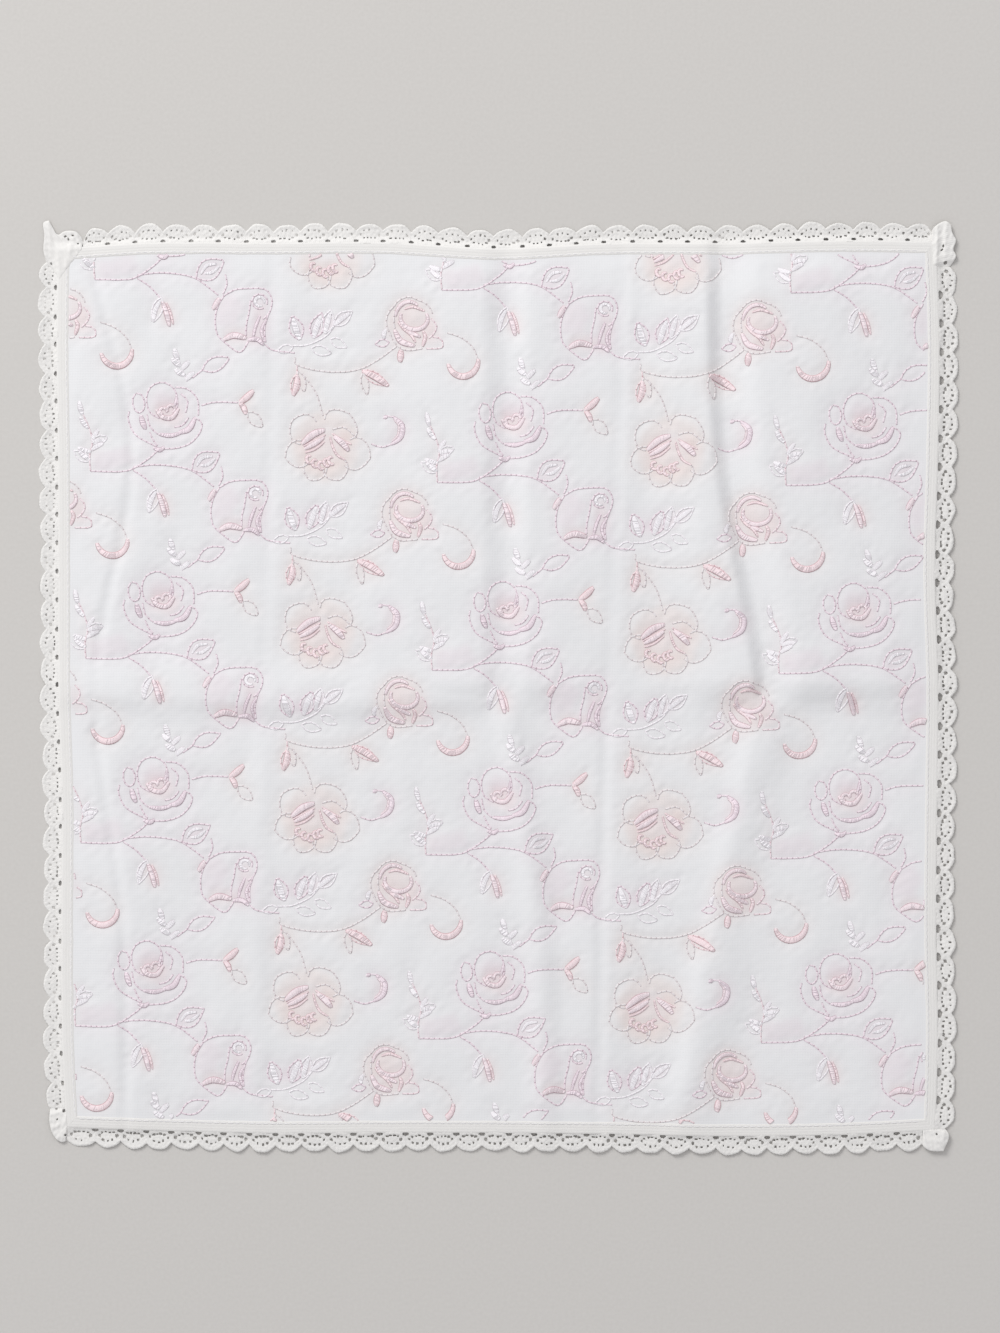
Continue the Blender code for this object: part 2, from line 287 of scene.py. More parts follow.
def mesh_piece(name, points, face_groups, material, attributes=()):
    """An object from points in mm and groups of faces, each an array with one row of corners a face."""
    mesh = bpy.data.meshes.new(name)
    corners = np.concatenate([group.reshape(-1) for group in face_groups])
    sizes = np.concatenate([np.full(len(group), group.shape[1]) for group in face_groups])
    mesh.vertices.add(len(points))
    mesh.vertices.foreach_set("co", (points * MM).astype(np.float32).reshape(-1))
    mesh.loops.add(len(corners))
    mesh.loops.foreach_set("vertex_index", corners.astype(np.int32))
    mesh.polygons.add(len(sizes))
    mesh.polygons.foreach_set("loop_start", (np.cumsum(sizes) - sizes).astype(np.int32))
    mesh.polygons.foreach_set("use_smooth", np.ones(len(sizes), bool))
    for label, kind, values in attributes:
        layer = mesh.attributes.new(label, kind, "POINT")
        field = {"FLOAT": "value", "FLOAT_VECTOR": "vector", "FLOAT_COLOR": "color"}[kind]
        layer.data.foreach_set(field, values.astype(np.float32).reshape(-1))
    mesh.update(calc_edges=True)
    mesh.materials.append(material)
    piece = bpy.data.objects.new(name, mesh)
    bpy.context.scene.collection.objects.link(piece)
    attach(piece, "root")
    return piece


class Yarns:
    """Lengths of thread as tubes, and bands of close stitching, gathered into one mesh.

    Each point also has the facts that its material reads: its run along the strand in mm, its share of the
    way round, the strand's own number, and its painted shade, which is 1 where the thread dives into the
    cloth.
    """

    def __init__(self):
        self.points, self.facts, self.sunk, self.groups, self.count = [], [], [], [], 0

    def add(self, lines, wide, high, sunk=0.0):
        """Tubes along lines, an array (tubes, points, xyz), with a half width and a half height.

        The painted shade is 1 where a thread dives into the cloth: there its colour is painted darker for the
        shade where it goes down.
        """
        tubes, steps, _ = lines.shape
        if not tubes:
            return
        ahead = np.gradient(lines, axis=1)
        ahead = ahead / (np.linalg.norm(ahead, axis=2, keepdims=True) + TINY)
        across = np.stack([ahead[..., 1], -ahead[..., 0], np.full((tubes, steps), TINY)], -1)
        across = across / (np.linalg.norm(across, axis=2, keepdims=True) + TINY)
        up = np.cross(across, ahead)
        turn = (np.arange(TUBE_SIDES)[:, None] + 0.5) * 2 * math.pi / TUBE_SIDES
        cosine, sine = np.cos(turn) / math.cos(math.pi / TUBE_SIDES), np.sin(turn)
        rings = lines[:, :, None] + across[:, :, None] * cosine * wide + up[:, :, None] * sine * high
        index = self.count + np.arange(tubes * steps * TUBE_SIDES).reshape(tubes, steps, TUBE_SIDES)
        here, there = index[:, :-1], index[:, 1:]
        quads = np.stack([here, there, np.roll(there, -1, 2), np.roll(here, -1, 2)], -1)
        run = np.linalg.norm(np.diff(lines, axis=1, prepend=lines[:, :1]), axis=2).cumsum(1)
        own = RNG.random((tubes, 1, 1))
        around = np.arange(TUBE_SIDES)[None, None] / TUBE_SIDES
        facts = np.stack(np.broadcast_arrays(run[..., None] + own * 7, around, own), -1)
        self.gather(rings, facts, np.asarray(sunk, float)[..., None], quads.reshape(-1, 4))

    def band(self, lines, closed=True):
        """A band through lines side by side, an array (lines, points, xyz), less the faces not closed."""
        count, steps, _ = lines.shape
        index = self.count + np.arange(count * steps).reshape(count, steps)
        quads = np.stack([index[:-1, :-1], index[1:, :-1], index[1:, 1:], index[:-1, 1:]], -1)
        run = np.linalg.norm(np.diff(lines, axis=1, prepend=lines[:, :1]), axis=2).cumsum(1)
        facts = np.stack(np.broadcast_arrays(run, np.arange(count)[:, None] * 0.5, 0.5), -1)
        self.gather(lines, facts, 0.0, quads[np.broadcast_to(closed, quads.shape[:2])])

    def gather(self, points, facts, sunk, quads):
        """Adds points with their facts, and the faces between them."""
        self.points.append(points.reshape(-1, 3))
        self.facts.append(facts.reshape(-1, 3))
        self.sunk.append(np.broadcast_to(sunk, points.shape[:-1]).reshape(-1))
        self.groups.append(quads)
        self.count += len(self.points[-1])

    def piece(self, name, material, replaced=None, slot="thread"):
        """The one mesh of all that was gathered."""
        attributes = [
            ("strand", "FLOAT_VECTOR", np.concatenate(self.facts)),
            ("sunk", "FLOAT", np.concatenate(self.sunk)),
        ]
        made = mesh_piece(name, np.concatenate(self.points), self.groups, material, attributes)
        if replaced:
            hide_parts(replaced)
        return made


# ---- Materials ----


def add_node(tree, kind, settings=(), **links):
    """A node with its settings, and its inputs by name or number: a node or output to link, or a value."""
    made = tree.nodes.new(kind)
    for name, value in dict(settings).items():
        setattr(made, name, value)
    for name, value in links.items():
        key = int(name[1:]) if name[0] == "i" and name[1:].isdigit() else name.replace("_", " ")
        if isinstance(value, bpy.types.Node):
            value = next(output for output in value.outputs if output.enabled)
        if isinstance(value, bpy.types.NodeSocket):
            tree.links.new(value, made.inputs[key])
        else:
            made.inputs[key].default_value = value
    return made


def new_material(name, **constants):
    """A material and its node tree, with the values of its shader that are the same all over."""
    made = bpy.data.materials.new(name)
    made.use_nodes = True
    shader = made.node_tree.nodes["Principled BSDF"]
    for key, value in constants.items():
        shader.inputs[key.replace("_", " ")].default_value = value
    return made, made.node_tree


MATH, MIX = "ShaderNodeMath", "ShaderNodeMix"
PRODUCT, SINE, LARGER, PRODUCT_AND_SUM = (
    {"operation": name} for name in ("MULTIPLY", "SINE", "MAXIMUM", "MULTIPLY_ADD")
)
COLOURS, TINTING = {"data_type": "RGBA"}, {"data_type": "RGBA", "blend_type": "MULTIPLY"}

WEAVE = 0.85  # from yarn to yarn: the real 0.55 mm is too fine to show, so it is drawn coarser
# Lengths of unevenness, in mm
SLUB = 2.38  # thick and thin places of a yarn
CRINKLE = 1.54  # the crinkle of washed gauze
CLOUDS = 16.7  # closer and more open parts of the cloth
ROLLER_NAP = 1.11  # the stipple of a paint roller


def per_metre(length):
    """The scale of a pattern whose parts are that many mm long."""
    return 1 / (length * MM)


def finish_shader(tree, colour, bump):
    """Links a node's colour and a bump node to the shader."""
    shader = tree.nodes["Principled BSDF"]
    tree.links.new(next(output for output in colour.outputs if output.enabled), shader.inputs["Base Color"])
    tree.links.new(bump.outputs[0], shader.inputs["Normal"])


def cotton_gauze(name, colour, open_tone_and_shade, tinted=True):
    """Cotton double gauze: two plies of loosely spun yarn in an open plain weave, washed soft.

    The eye gets a matte white with a faint grid of thick and thin yarns, a fine crinkle and, where it is
    tinted, the colour of the thread that is stitched through it.
    """
    made, tree = new_material(name, Roughness=0.92, Sheen_Weight=0.25, Specular_IOR_Level=0.25)
    place = add_node(tree, "ShaderNodeTexCoord").outputs["Object"]
    split = add_node(tree, "ShaderNodeSeparateXYZ", i0=place)
    slub = add_node(tree, "ShaderNodeTexNoise", Vector=place, Scale=per_metre(SLUB), Detail=2.0)
    uneven = add_node(tree, MATH, PRODUCT, i0=slub, i1=3.0)
    yarns = []
    for axis in (0, 1):
        pace = 2 * math.pi * per_metre(WEAVE)
        turns = add_node(tree, MATH, PRODUCT_AND_SUM, i0=split.outputs[axis], i1=pace, i2=uneven)
        yarns.append(add_node(tree, MATH, SINE, i0=turns))
    weave = add_node(tree, MATH, PRODUCT, i0=yarns[0], i1=yarns[1])
    ridges = add_node(tree, MATH, LARGER, i0=yarns[0], i1=yarns[1])
    relief = add_node(tree, MATH, PRODUCT_AND_SUM, i0=weave, i1=0.4, i2=ridges)
    crinkle = add_node(
        tree, "ShaderNodeTexNoise", Vector=place, Scale=per_metre(CRINKLE), Detail=3.0, Roughness=0.6
    )
    relief = add_node(tree, MATH, PRODUCT_AND_SUM, i0=crinkle, i1=2.2, i2=relief)
    bump = add_node(tree, "ShaderNodeBump", Strength=0.11, Distance=0.0001, Height=relief)
    cloudy = add_node(tree, "ShaderNodeTexNoise", Vector=place, Scale=per_metre(CLOUDS), Detail=3.0)
    cloud = add_node(tree, MATH, PRODUCT, i0=cloudy, i1=0.5)
    # the darker colour: a very slight painted shade in the low parts of the weave and crinkle, and mostly the
    # random tone of closer and more open cloth
    amount = add_node(tree, MATH, PRODUCT_AND_SUM, i0=relief, i1=0.01, i2=cloud)
    base = add_node(tree, MIX, COLOURS, i0=amount, i6=hexed(open_tone_and_shade), i7=hexed(colour))
    if tinted:
        tint = add_node(tree, "ShaderNodeAttribute", {"attribute_name": "tint"})
        base = add_node(tree, MIX, TINTING, i0=1.0, i6=base, i7=tint.outputs["Color"])
    finish_shader(tree, base, bump)
    return made


def thread_material(name, light, shade_and_strand_tone, roughness, ply):
    """Cotton or embroidery thread, spun and plied: a soft gloss, broken by the twist of its plies.

    Its colour goes from light to a painted shade where a stitch dives into the cloth, and a little from
    strand to strand; the grooves of its twist are painted a little darker too, as shade. Ply is the length of
    its twist in mm. On a band of lace the twist reads as the slant of its close stitches.
    """
    made, tree = new_material(name, Roughness=roughness, Sheen_Weight=0.3, Specular_IOR_Level=0.35)
    facts = add_node(tree, "ShaderNodeAttribute", {"attribute_name": "strand"}).outputs["Vector"]
    split = add_node(tree, "ShaderNodeSeparateXYZ", i0=facts)
    turns = add_node(tree, MATH, PRODUCT_AND_SUM, i0=split.outputs[0], i1=1 / ply, i2=split.outputs[1])
    twist = add_node(tree, MATH, SINE, i0=add_node(tree, MATH, PRODUCT, i0=turns, i1=4 * math.pi))
    bump = add_node(tree, "ShaderNodeBump", Strength=0.3, Distance=0.00005, Height=twist)
    sunk = add_node(tree, "ShaderNodeAttribute", {"attribute_name": "sunk"}).outputs["Fac"]
    # the strand's own tone, and the painted shade where the thread dives into the cloth
    own = add_node(tree, MATH, PRODUCT_AND_SUM, i0=split.outputs[2], i1=0.12, i2=sunk)
    # painted shade: the colour goes a little darker in the low turns of the twist
    amount = add_node(tree, MATH, PRODUCT_AND_SUM, i0=twist, i1=-0.05, i2=own)
    colour = add_node(tree, MIX, COLOURS, i0=amount, i6=hexed(light), i7=hexed(shade_and_strand_tone))
    finish_shader(tree, colour, bump)
    return made


def painted_board():
    """Board painted matte in a pale warm grey, rolled on, which leaves a barely visible stipple."""
    made, tree = new_material("painted_board", Roughness=0.95, Specular_IOR_Level=0.15)
    place = add_node(tree, "ShaderNodeTexCoord").outputs["Object"]
    rolled = add_node(tree, "ShaderNodeTexNoise", Vector=place, Scale=per_metre(ROLLER_NAP), Detail=2.0)
    bump = add_node(tree, "ShaderNodeBump", Strength=0.15, Distance=0.0002, Height=rolled)
    colour = add_node(tree, MIX, COLOURS, i0=rolled, i6=hexed("#cfccc7"), i7=hexed("#d7d4cf"))
    finish_shader(tree, colour, bump)
    return made


# ---- The drawing of the embroidery, one repeat, measured from the middle of its large rose ----


def turned(line, degrees):
    """A line turned about the place (0, 0)."""
    angle = math.radians(degrees)
    return line @ np.array([[math.cos(angle), math.sin(angle)], [-math.sin(angle), math.cos(angle)]])


def arc(x, y, wide, high, start, end, turn=0):
    """Part of an ellipse with half axes wide and high, between two angles in degrees."""
    angle = np.radians(np.linspace(start, end, 8 + int(abs(end - start) / 8)))
    return turned(np.stack([wide * np.cos(angle), high * np.sin(angle)], -1), turn) + (x, y)


def curve(*places):
    """A smooth line through a few places."""
    places = np.array(places, float)
    share = np.linspace(0, 1, 10 * (len(places) - 1) + 1)
    return np.stack([between_stations(places[:, axis], share) for axis in (0, 1)], -1)


def leaf(x, y, turn, long, wide):
    """A pointed leaf from its stalk."""
    share = np.linspace(0, 1, 12)
    half = wide / 2 * np.sin(math.pi * share**0.85)
    there = np.stack([share * long, half], -1)
    back = np.stack([share[::-1] * long, -half[::-1]], -1)
    return turned(np.concatenate([there, back[1:]]), turn) + (x, y)


def midrib(x, y, turn, long):
    """The middle line of a leaf from its stalk, bowed a little."""
    fine = leaf(x, y, turn, long, 0.4)
    return fine[: len(fine) // 2 + 1]


def petal(x, y, turn, long, wide, hidden):
    """The free edge of a round petal, from where it comes out of its neighbours and back."""
    share = np.linspace(hidden, 1, 10)
    half = wide / 2 * np.sin(math.pi * share**1.7) ** 0.7
    there = np.stack([share * long, half], -1)
    back = np.stack([share[::-1] * long, -half[::-1]], -1)
    return turned(np.concatenate([there, back[1:]]), turn) + (x, y)


class Sketch:
    """Strokes of the design, each (kind, thread, line, width).

    A run is a line of running stitch, satin is a band of satin stitch, and tinted is a band of cloth that
    takes the thread's colour from thread that is carried under it.
    """

    def __init__(self):
        self.strokes = []

    def run(self, thread, *lines):
        self.strokes += [("run", thread, line, 0.0) for line in lines]

    def satin(self, thread, wide, *lines):
        self.strokes += [("satin", thread, line, wide) for line in lines]

    def tinted(self, thread, wide, *lines):
        self.strokes += [("tinted", thread, line, wide) for line in lines]

    def add(self, other, x, y):
        self.strokes += [(kind, thread, line + (x, y), wide) for kind, thread, line, wide in other.strokes]


def large_rose():
    """An open rose, seen a little from its side."""
    made = Sketch()
    # the cup in the middle, with a fringe of loops across its foot
    cup = ((-1, -3), (-4.2, -1), (-5.3, 3.2), (-3.8, 7), (0, 8.4), (3.6, 6.4), (4.8, 2), (3.6, -1.4))
    made.run("lilac", curve(*cup))
    made.satin("pink", 1.5, curve((-2, -0.4), (-0.2, -2.4), (3, -2.6), (5.2, 0.4)))
    made.satin("pink", 0.9, arc(0.2, -0.6, 1.1, 0.9, -20, 260), arc(2.7, 0.2, 1.2, 1.1, -60, 220))
    made.satin("lilac", 0.8, curve((3.6, 0.6), (4.2, 2.6), (4.4, 4.4)))
    made.tinted("lilac", 4.5, curve((-2.2, 4.4), (0, 2.8), (2.2, 1)))
    # small petal and dark fold on the left
    made.run("lilac", arc(-7.8, 1.6, 1.9, 3.1, -250, 100, 8))
    made.satin("lilac", 1.7, curve((-6.9, -2.4), (-6.3, -4.6), (-5.4, -6.6)))
    made.run("lilac", curve((-10.8, -1.2), (-11, -4), (-8.4, -8.6), (-1.6, -12)))
    # petals under the cup
    made.run("lilac", curve((-5, -2), (-4, -5.6), (-1.4, -8)))
    made.satin("lilac", 1.3, curve((-1, -8), (2.6, -8.3), (6, -7.4)))
    made.satin("lilac", 1.8, curve((5.4, -7.2), (8.6, -6), (10.6, -2.4)))
    made.run("lilac", curve((4, -5.6), (6.6, -4.8), (8.4, -2.4)))
    made.run("lilac", curve((-4, -7.6), (-2.8, -10), (-1.4, -11.6)))
    # the open petals on the right
    made.run("lilac", curve((4, 7), (8, 6.6), (11.2, 3.4), (11.6, -1.6)))
    made.run("lilac", curve((5.8, 5), (8, 2.8), (7.4, -0.8)))
    made.run("lilac", curve((10.4, -2.2), (12.8, -4), (12, -7.4), (9, -10.6), (4.6, -12.2), (-1, -12.6)))
    made.satin("lilac", 1.3, curve((-2.6, -12.4), (-0.6, -13), (0.8, -12)))
    return made


def round_rose():
    """A half-open rose, round in outline."""
    made = Sketch()
    made.tinted("coral", 7.5, arc(0, -0.6, 4.2, 4.4, -110, 200))
    made.tinted("pink", 3.4, curve((6.6, 0.4), (7.4, -3), (8.8, -6)))
    # the rolled rim round the opening, and the shaded edge over it
    made.satin("pink", 1.4, arc(1.3, 1.4, 4.5, 3.5, -196, 32, -6))
    made.satin("coral", 0.7, curve((-1.9, 4.2), (0.9, 4.9), (4.6, 3.7)))
    made.satin("pink", 1.2, arc(-0.4, 1.6, 4.4, 4.9, 52, 176))
    # folds that sweep down to the right
    made.satin("coral", 0.8, curve((-3.9, 0.2), (-2.2, -1.8), (0.3, -3.7), (1.9, -6)))
    made.satin("pink", 1.8, curve((-5, -2.4), (-2.9, -5.8), (1.6, -7.2)))
    made.satin("coral", 1.1, curve((4.4, -2.7), (5.1, -4.4), (4.3, -7.2)))
    made.satin("pink", 1.2, curve((-0.6, -2.8), (1.6, -3.6), (3.4, -4.4)))
    # scallops of the outer petals
    wave = np.radians(np.linspace(22, 215, 64))
    reach = 7.3 + 0.6 * np.abs(np.sin(2.6 * wave))
    made.run("peach", np.stack([reach * np.cos(wave), reach * 1.02 * np.sin(wave)], -1))
    made.run("peach", curve((-5.2, 3.8), (-5.4, 0.8), (-5, -2)))
    made.run("peach", curve((-6.6, -4), (-4, -7.2), (-0.8, -8.6), (4.2, -8)))
    made.run("pink", curve((7, 1.4), (8.7, -0.8), (8.1, -3), (6.3, -4.8)))
    made.run("pink", curve((7.6, -4.3), (10.4, -5), (10.6, -7.6), (5.6, -8)))
    made.satin("white", 1.4, curve((-7.8, -2.2), (-8.6, -3.6), (-8.4, -5)))
    made.run("lilac", leaf(-6.8, -6.2, 188, 4.6, 2.4))
    made.satin("coral", 2.0, curve((-2.7, -8.6), (-2.9, -10.4), (-3.1, -12.2)))
    return made


def open_flower():
    """A flat open flower with round petals."""
    made = Sketch()
    petals = (  # the way it points, its length and its width
        (146, 13.6, 10), (198, 13.8, 8.6), (246, 12.2, 7.6),
        (296, 12, 8.2), (347, 15.2, 10.4), (54, 12.8, 12),
    )
    made.run("peach", *(petal(0, 0, turn, long, wide, 0.5) for turn, long, wide in petals))
    made.tinted("peach", 4.5, arc(0, 0, 8.5, 8.5, 30, 390))
    made.tinted("coral", 7.5, curve((-6.2, 0.4), (0, 1), (6.8, 0.4)))
    made.tinted("coral", 4.5, curve((-3.6, -4), (0, -4.8), (4.2, -4)))
    # two folded inner petals and the dark creases between them
    made.satin("pink", 2.2, curve((-0.4, 4.9), (-4.2, 3.4), (-7.7, 0.4)))
    made.satin("pink", 1.6, curve((-0.6, 2.6), (-3.4, 0.6), (-6.8, -1.2)))
    made.satin("coral", 0.6, curve((-0.2, 3.4), (-3.8, 1.4), (-7.2, -0.4)))
    made.satin("coral", 0.6, curve((-0.4, 1.2), (-3.4, -1.2), (-6.6, -2.4)))
    made.satin("pink", 2.0, curve((2.8, 2.9), (5.2, 1.2), (7.6, -1.4)))
    made.satin("coral", 0.6, curve((1.4, 2.8), (2.4, -0.4), (4, -3), (6.6, -4.4)))
    made.satin("coral", 0.6, curve((2.2, 3.8), (4.8, 2.2), (8.4, 0.6)))
    made.run("peach", curve((2.2, 5.2), (6, 5.9), (9.4, 3.4)))
    # a scribble of small loops for the stamens
    for x, y in ((-5.2, -4.6), (-3.2, -5.8), (-1.2, -6.4), (0.6, -5.4), (2, -4.8)):
        made.satin("coral", 0.9, arc(x, y, 0.9, 1.2, 40, 300, 20))
    return made


def rosebud():
    """A tall bud with one petal rolled back."""
    made = Sketch()
    made.run("lilac", curve((-5.6, 7.4), (-7.6, 3.6), (-8.2, -0.4), (-7.4, -4.6), (-5, -7)))
    made.run("lilac", curve((-5.6, 7.4), (-2, 9.4), (3, 10), (8, 9.8), (10.2, 6.6), (9.4, 2.6), (7.4, 0.6)))
    made.run("lilac", curve((3.2, 6.2), (2.8, 2.4), (2, -1.6), (2, -4.8)))
    made.run("lilac", curve((9.2, 2.4), (8, -2), (8.4, -6.6)))
    made.tinted("lilac", 6.3, curve((-4.4, -2), (-4, 2.4), (-0.6, 6)))
    made.tinted("pink", 3.6, curve((-5, -5), (0, -4.4), (7, -6)), curve((6, 5), (6.8, 1), (6.6, -3)))
    made.run("lilac", arc(6.2, 6, 2.5, 2.3, -20, 300))
    made.satin("white", 0.9, arc(6.2, 6, 1.5, 1.4, -20, 300))
    made.satin("lilac", 0.9, curve((6.4, 1.6), (5, -2), (4.4, -5)), curve((8.2, 0), (7, -3), (8, -6.4)))
    made.satin("pink", 2.0, curve((-5.2, -6.2), (-2, -4.8), (2, -5.6)))
    made.satin("lilac", 1.4, curve((2.8, -6), (5.6, -5.8), (7.8, -7.4)))
    made.run("lilac", curve((-5, -7), (0, -10), (2.8, -6.6)), curve((8.4, -7.4), (11, -9), (18, -9.6)))
    made.satin("pink", 1.7, curve((-9, 3.2), (-8, 4.8), (-7, 6.6)))
    return made


def leaf_spray():
    """Plump white leaves along a low stem."""
    made = Sketch()
    made.tinted("lilac", 2.7, curve((-6.6, 0.4), (-1.6, 1.2), (3.4, 3), (7.2, 5)))
    made.run("white", curve((-9.6, -4.6), (-4.8, -4.2), (1, -1.4), (3.8, 2)))
    leaves = (
        ("lilac", -7.4, -2.6, 110, 8, 4.6), ("lilac", -3, -2, 72, 8.4, 4.6),
        ("white", 0.8, -0.4, 76, 7.6, 4), ("white", 3.8, 2.2, 38, 7.4, 3.8),
    )
    for rim, x, y, turn, long, wide in leaves:
        made.run(rim, leaf(x, y, turn, long, wide))
        made.satin("white", wide * 0.45, midrib(x, y, turn, long * 0.85))
    made.run("white", leaf(-3.6, -5.2, -12, 7, 3))
    made.run("white", leaf(2.6, -2.2, -24, 6, 2.8))
    made.run("white", leaf(-9.6, -5, 196, 5.4, 2.6))
    return made


def leaf_branch():
    """A little upright stem of small bright leaves."""
    made = Sketch()
    made.run("pink", curve((0, 0), (-0.4, 4.6), (0.4, 9.4), (-1, 14), (-3, 18)))
    leaves = (
        (-0.2, 3.4, 146), (0.2, 6.6, 30), (0.4, 9, 12), (0.2, 9.4, 60),
        (0, 6, 165), (-1, 13.4, 128), (-3, 17.6, 104),
    )
    for x, y, turn in leaves:
        made.satin("white", 1.5, midrib(x, y, turn, 4.2))
    made.run("white", leaf(-0.4, 3, 150, 6, 3), leaf(0.4, 9, 20, 5.4, 2.8))
    return made


def one_repeat():
    """The motifs in their places, and the vines and sprigs between them."""
    made = Sketch()
    made.add(large_rose(), 0, 0)
    made.add(rosebud(), 24.6, -31.6)
    made.add(round_rose(), -33, 29.4)
    made.add(open_flower(), -59.9, -9.8)
    made.add(leaf_spray(), 51.6, -34.4)
    made.add(leaf_branch(), -22.8, -20.4)
    made.tinted("pink", 5.0, curve((-2.4, -0.6), (2, -1.8), (6, -3.6)))
    # the vine under the rose, with its hanging bud and leaf, and the tinted cloth in its fork
    made.tinted("lilac", 5.4, curve((-21.5, -17.6), (-16, -16.6), (-10, -14.6)))
    made.run("lilac", curve((-1, -12.8), (-3.8, -15.6), (-9, -19.2), (-13.4, -20.4), (-22.8, -20.6)))
    made.run("lilac", curve((-9, -18.8), (-2.6, -17.8), (4.6, -18), (10.4, -19.4), (17.2, -24)))
    made.run("lilac", curve((-9, -19.8), (-5, -22.2), (-1.6, -25.6)))
    made.satin("pink", 1.6, curve((-0.8, -26.8), (0.5, -30), (1.6, -34.2)))
    made.satin("coral", 0.7, curve((0.4, -27), (1.8, -30), (2.8, -33.6)))
    made.tinted("pink", 2.7, curve((-0.8, -27), (0.6, -30), (1.8, -33.6)))
    made.run("white", leaf(-1.2, -25.4, -108, 8.4, 3.4))
    made.satin("white", 1.6, curve((-1.6, -26.4), (-3.2, -29.4), (-3.8, -33)))
    # over the rosebud
    made.run("lilac", leaf(10, -18.8, 32, 10.6, 6.4))
    made.satin("white", 1.1, curve((11.4, -17.6), (13.2, -15), (16.4, -14.4)))
    made.satin("white", 1.1, curve((12.8, -17.4), (15, -17), (17.4, -15)))
    made.tinted("lilac", 2.7, curve((11, -18), (14, -16.2), (17, -14.4)))
    made.run("lilac", curve((18.8, -23.6), (20, -20.6), (19.4, -17.6)))
    # the vine of coral buds
    vine = ((42.8, 17.6), (43.4, 15.4), (50, 13.8), (57.3, 13.5), (63.8, 14.5), (69.7, 17.4), (76, 22))
    made.run("peach", curve(*vine))
    made.run("peach", curve((45.4, 12.6), (49.9, 6.6), (52.3, -0.4)))
    made.run("coral", curve((43.4, 15.4), (43.6, 12)), leaf(43.5, 12.4, -98, 7.2, 3.0))
    made.satin("coral", 1.9, curve((43.6, 12), (43.4, 9), (42.4, 5.8)))
    made.run("peach", leaf(44, 13.4, -72, 7, 2.6))
    made.satin("coral", 2.2, curve((65.2, 14), (69.4, 12.2), (73.4, 9.6)))
    made.run("coral", leaf(64.9, 14.2, -28, 10, 3.4))
    made.run("peach", leaf(65, 13.4, -76, 7.4, 2.4))
    # crescents
    made.run("peach", curve((-20.6, 26.4), (-16, 25), (-12.2, 22), (-10.4, 18.2)))
    made.satin("coral", 2.0, arc(-15.3, 17.9, 5.0, 5.0, 6, -166))
    made.satin("lilac", 1.6, curve((-37.6, -0.4), (-34.9, -2.8), (-35.3, -6.6), (-38.2, -8.8)))
    made.satin("pink", 0.7, curve((-37.4, -1.2), (-35.9, -3), (-36.2, -6), (-38, -7.8)))
    made.satin("lilac", 1.1, curve((-41, -0.4), (-39.8, -0.2)))
    made.run("lilac", curve((-40, 0), (-37.4, -0.2)), curve((-38.2, -8.8), (-41.4, -9.8), (-44.8, -8.9)))
    # the small leaf of two tones and its stalk
    made.run("lilac", curve((12.6, 1.6), (17, 2.8), (24.4, 2.9)))
    made.satin("coral", 2.1, curve((25, 3), (27.2, 4.6), (29.4, 6.8)))
    made.satin("coral", 1.7, curve((25.2, 2.8), (26.4, 1.2), (27, -0.6)))
    made.tinted("coral", 2.7, curve((25, 3), (26.6, 3.4), (28.4, 5)))
    made.run("peach", leaf(27.6, 0, -42, 7, 3.6))
    # sprigs over the rose
    made.run("white", curve((7.6, 9), (6.4, 12), (4.6, 16)))
    for x, y, turn in ((7.4, 9.6, 40), (6.8, 11, 150), (6, 12.8, 46), (5.4, 13.8, 140), (4.6, 15.8, 110)):
        made.satin("white", 1.7, midrib(x, y, turn, 3.4))
    made.run("lilac", curve((9.4, 10.2), (12.6, 12.8)), leaf(12.6, 12.8, 25, 9.8, 4.4))
    return made


COLUMNS_APART, ROWS_APART = 113.3, 60.3  # the repeat as it is drawn
COLUMNS, ROWS = range(-2, 3), range(-2, 6)  # enough of it to cover the cloth


def stretched(line, column, row):
    """The drawing as it lies in the cloth, which was pulled a little out of square as it was sewn.

    The columns and rows first lean and bow as wholes. Then the cloth's slack takes a place aside and ahead,
    by its shares of the way from the middle to the edge.
    """
    u = column + line[:, 0] / COLUMNS_APART
    v = row - line[:, 1] / ROWS_APART
    x = 3.6 + 113.25 * u + 1.45 * u**2 - 1.3 * v - 0.3 * v**2
    y = 87.5 - 61.3 * v + 0.5 * v**2 + 0.85 * u * (u - 1)
    a, b = x / (WIDTH / 2), y / (WIDTH / 2)
    aside = 0.1 - 1.75 * a - 0.35 * b - 1.3 * a**2 + 1.6 * a * b + 0.75 * b**2
    aside = aside + 2.7 * a**3 - 0.85 * a * b**2
    ahead = -1.25 - 1.5 * a + 1.6 * b + 0.85 * a**2 + 0.3 * a * b - 0.65 * b**2 + 1.6 * b**3
    return np.stack([x + aside, y + ahead], -1)


def whole_design():
    """The repeat laid over the cloth, in the cloth's own place."""
    repeat = one_repeat()
    made = Sketch()
    for column in COLUMNS:
        for row in ROWS:
            for kind, thread, line, wide in repeat.strokes:
                made.strokes.append((kind, thread, stretched(line, column, row), wide))
    return made


# ---- Stitches ----

# thread: (its colour in the light, its painted shade where it dives into the cloth, which also gives a little
# random tone from strand to strand, and how full its satin stitch stands)
SPUN = {
    "lilac": ("#f8eaf0", "#b596a4", 0.75),
    "pink": ("#faecef", "#c59fa8", 0.85),
    "coral": ("#fbe9eb", "#c89a9e", 0.9),
    "peach": ("#f3eeee", "#bda9ab", 1.0),
    "white": ("#fbf8fa", "#e4d9df", 0.25),
}

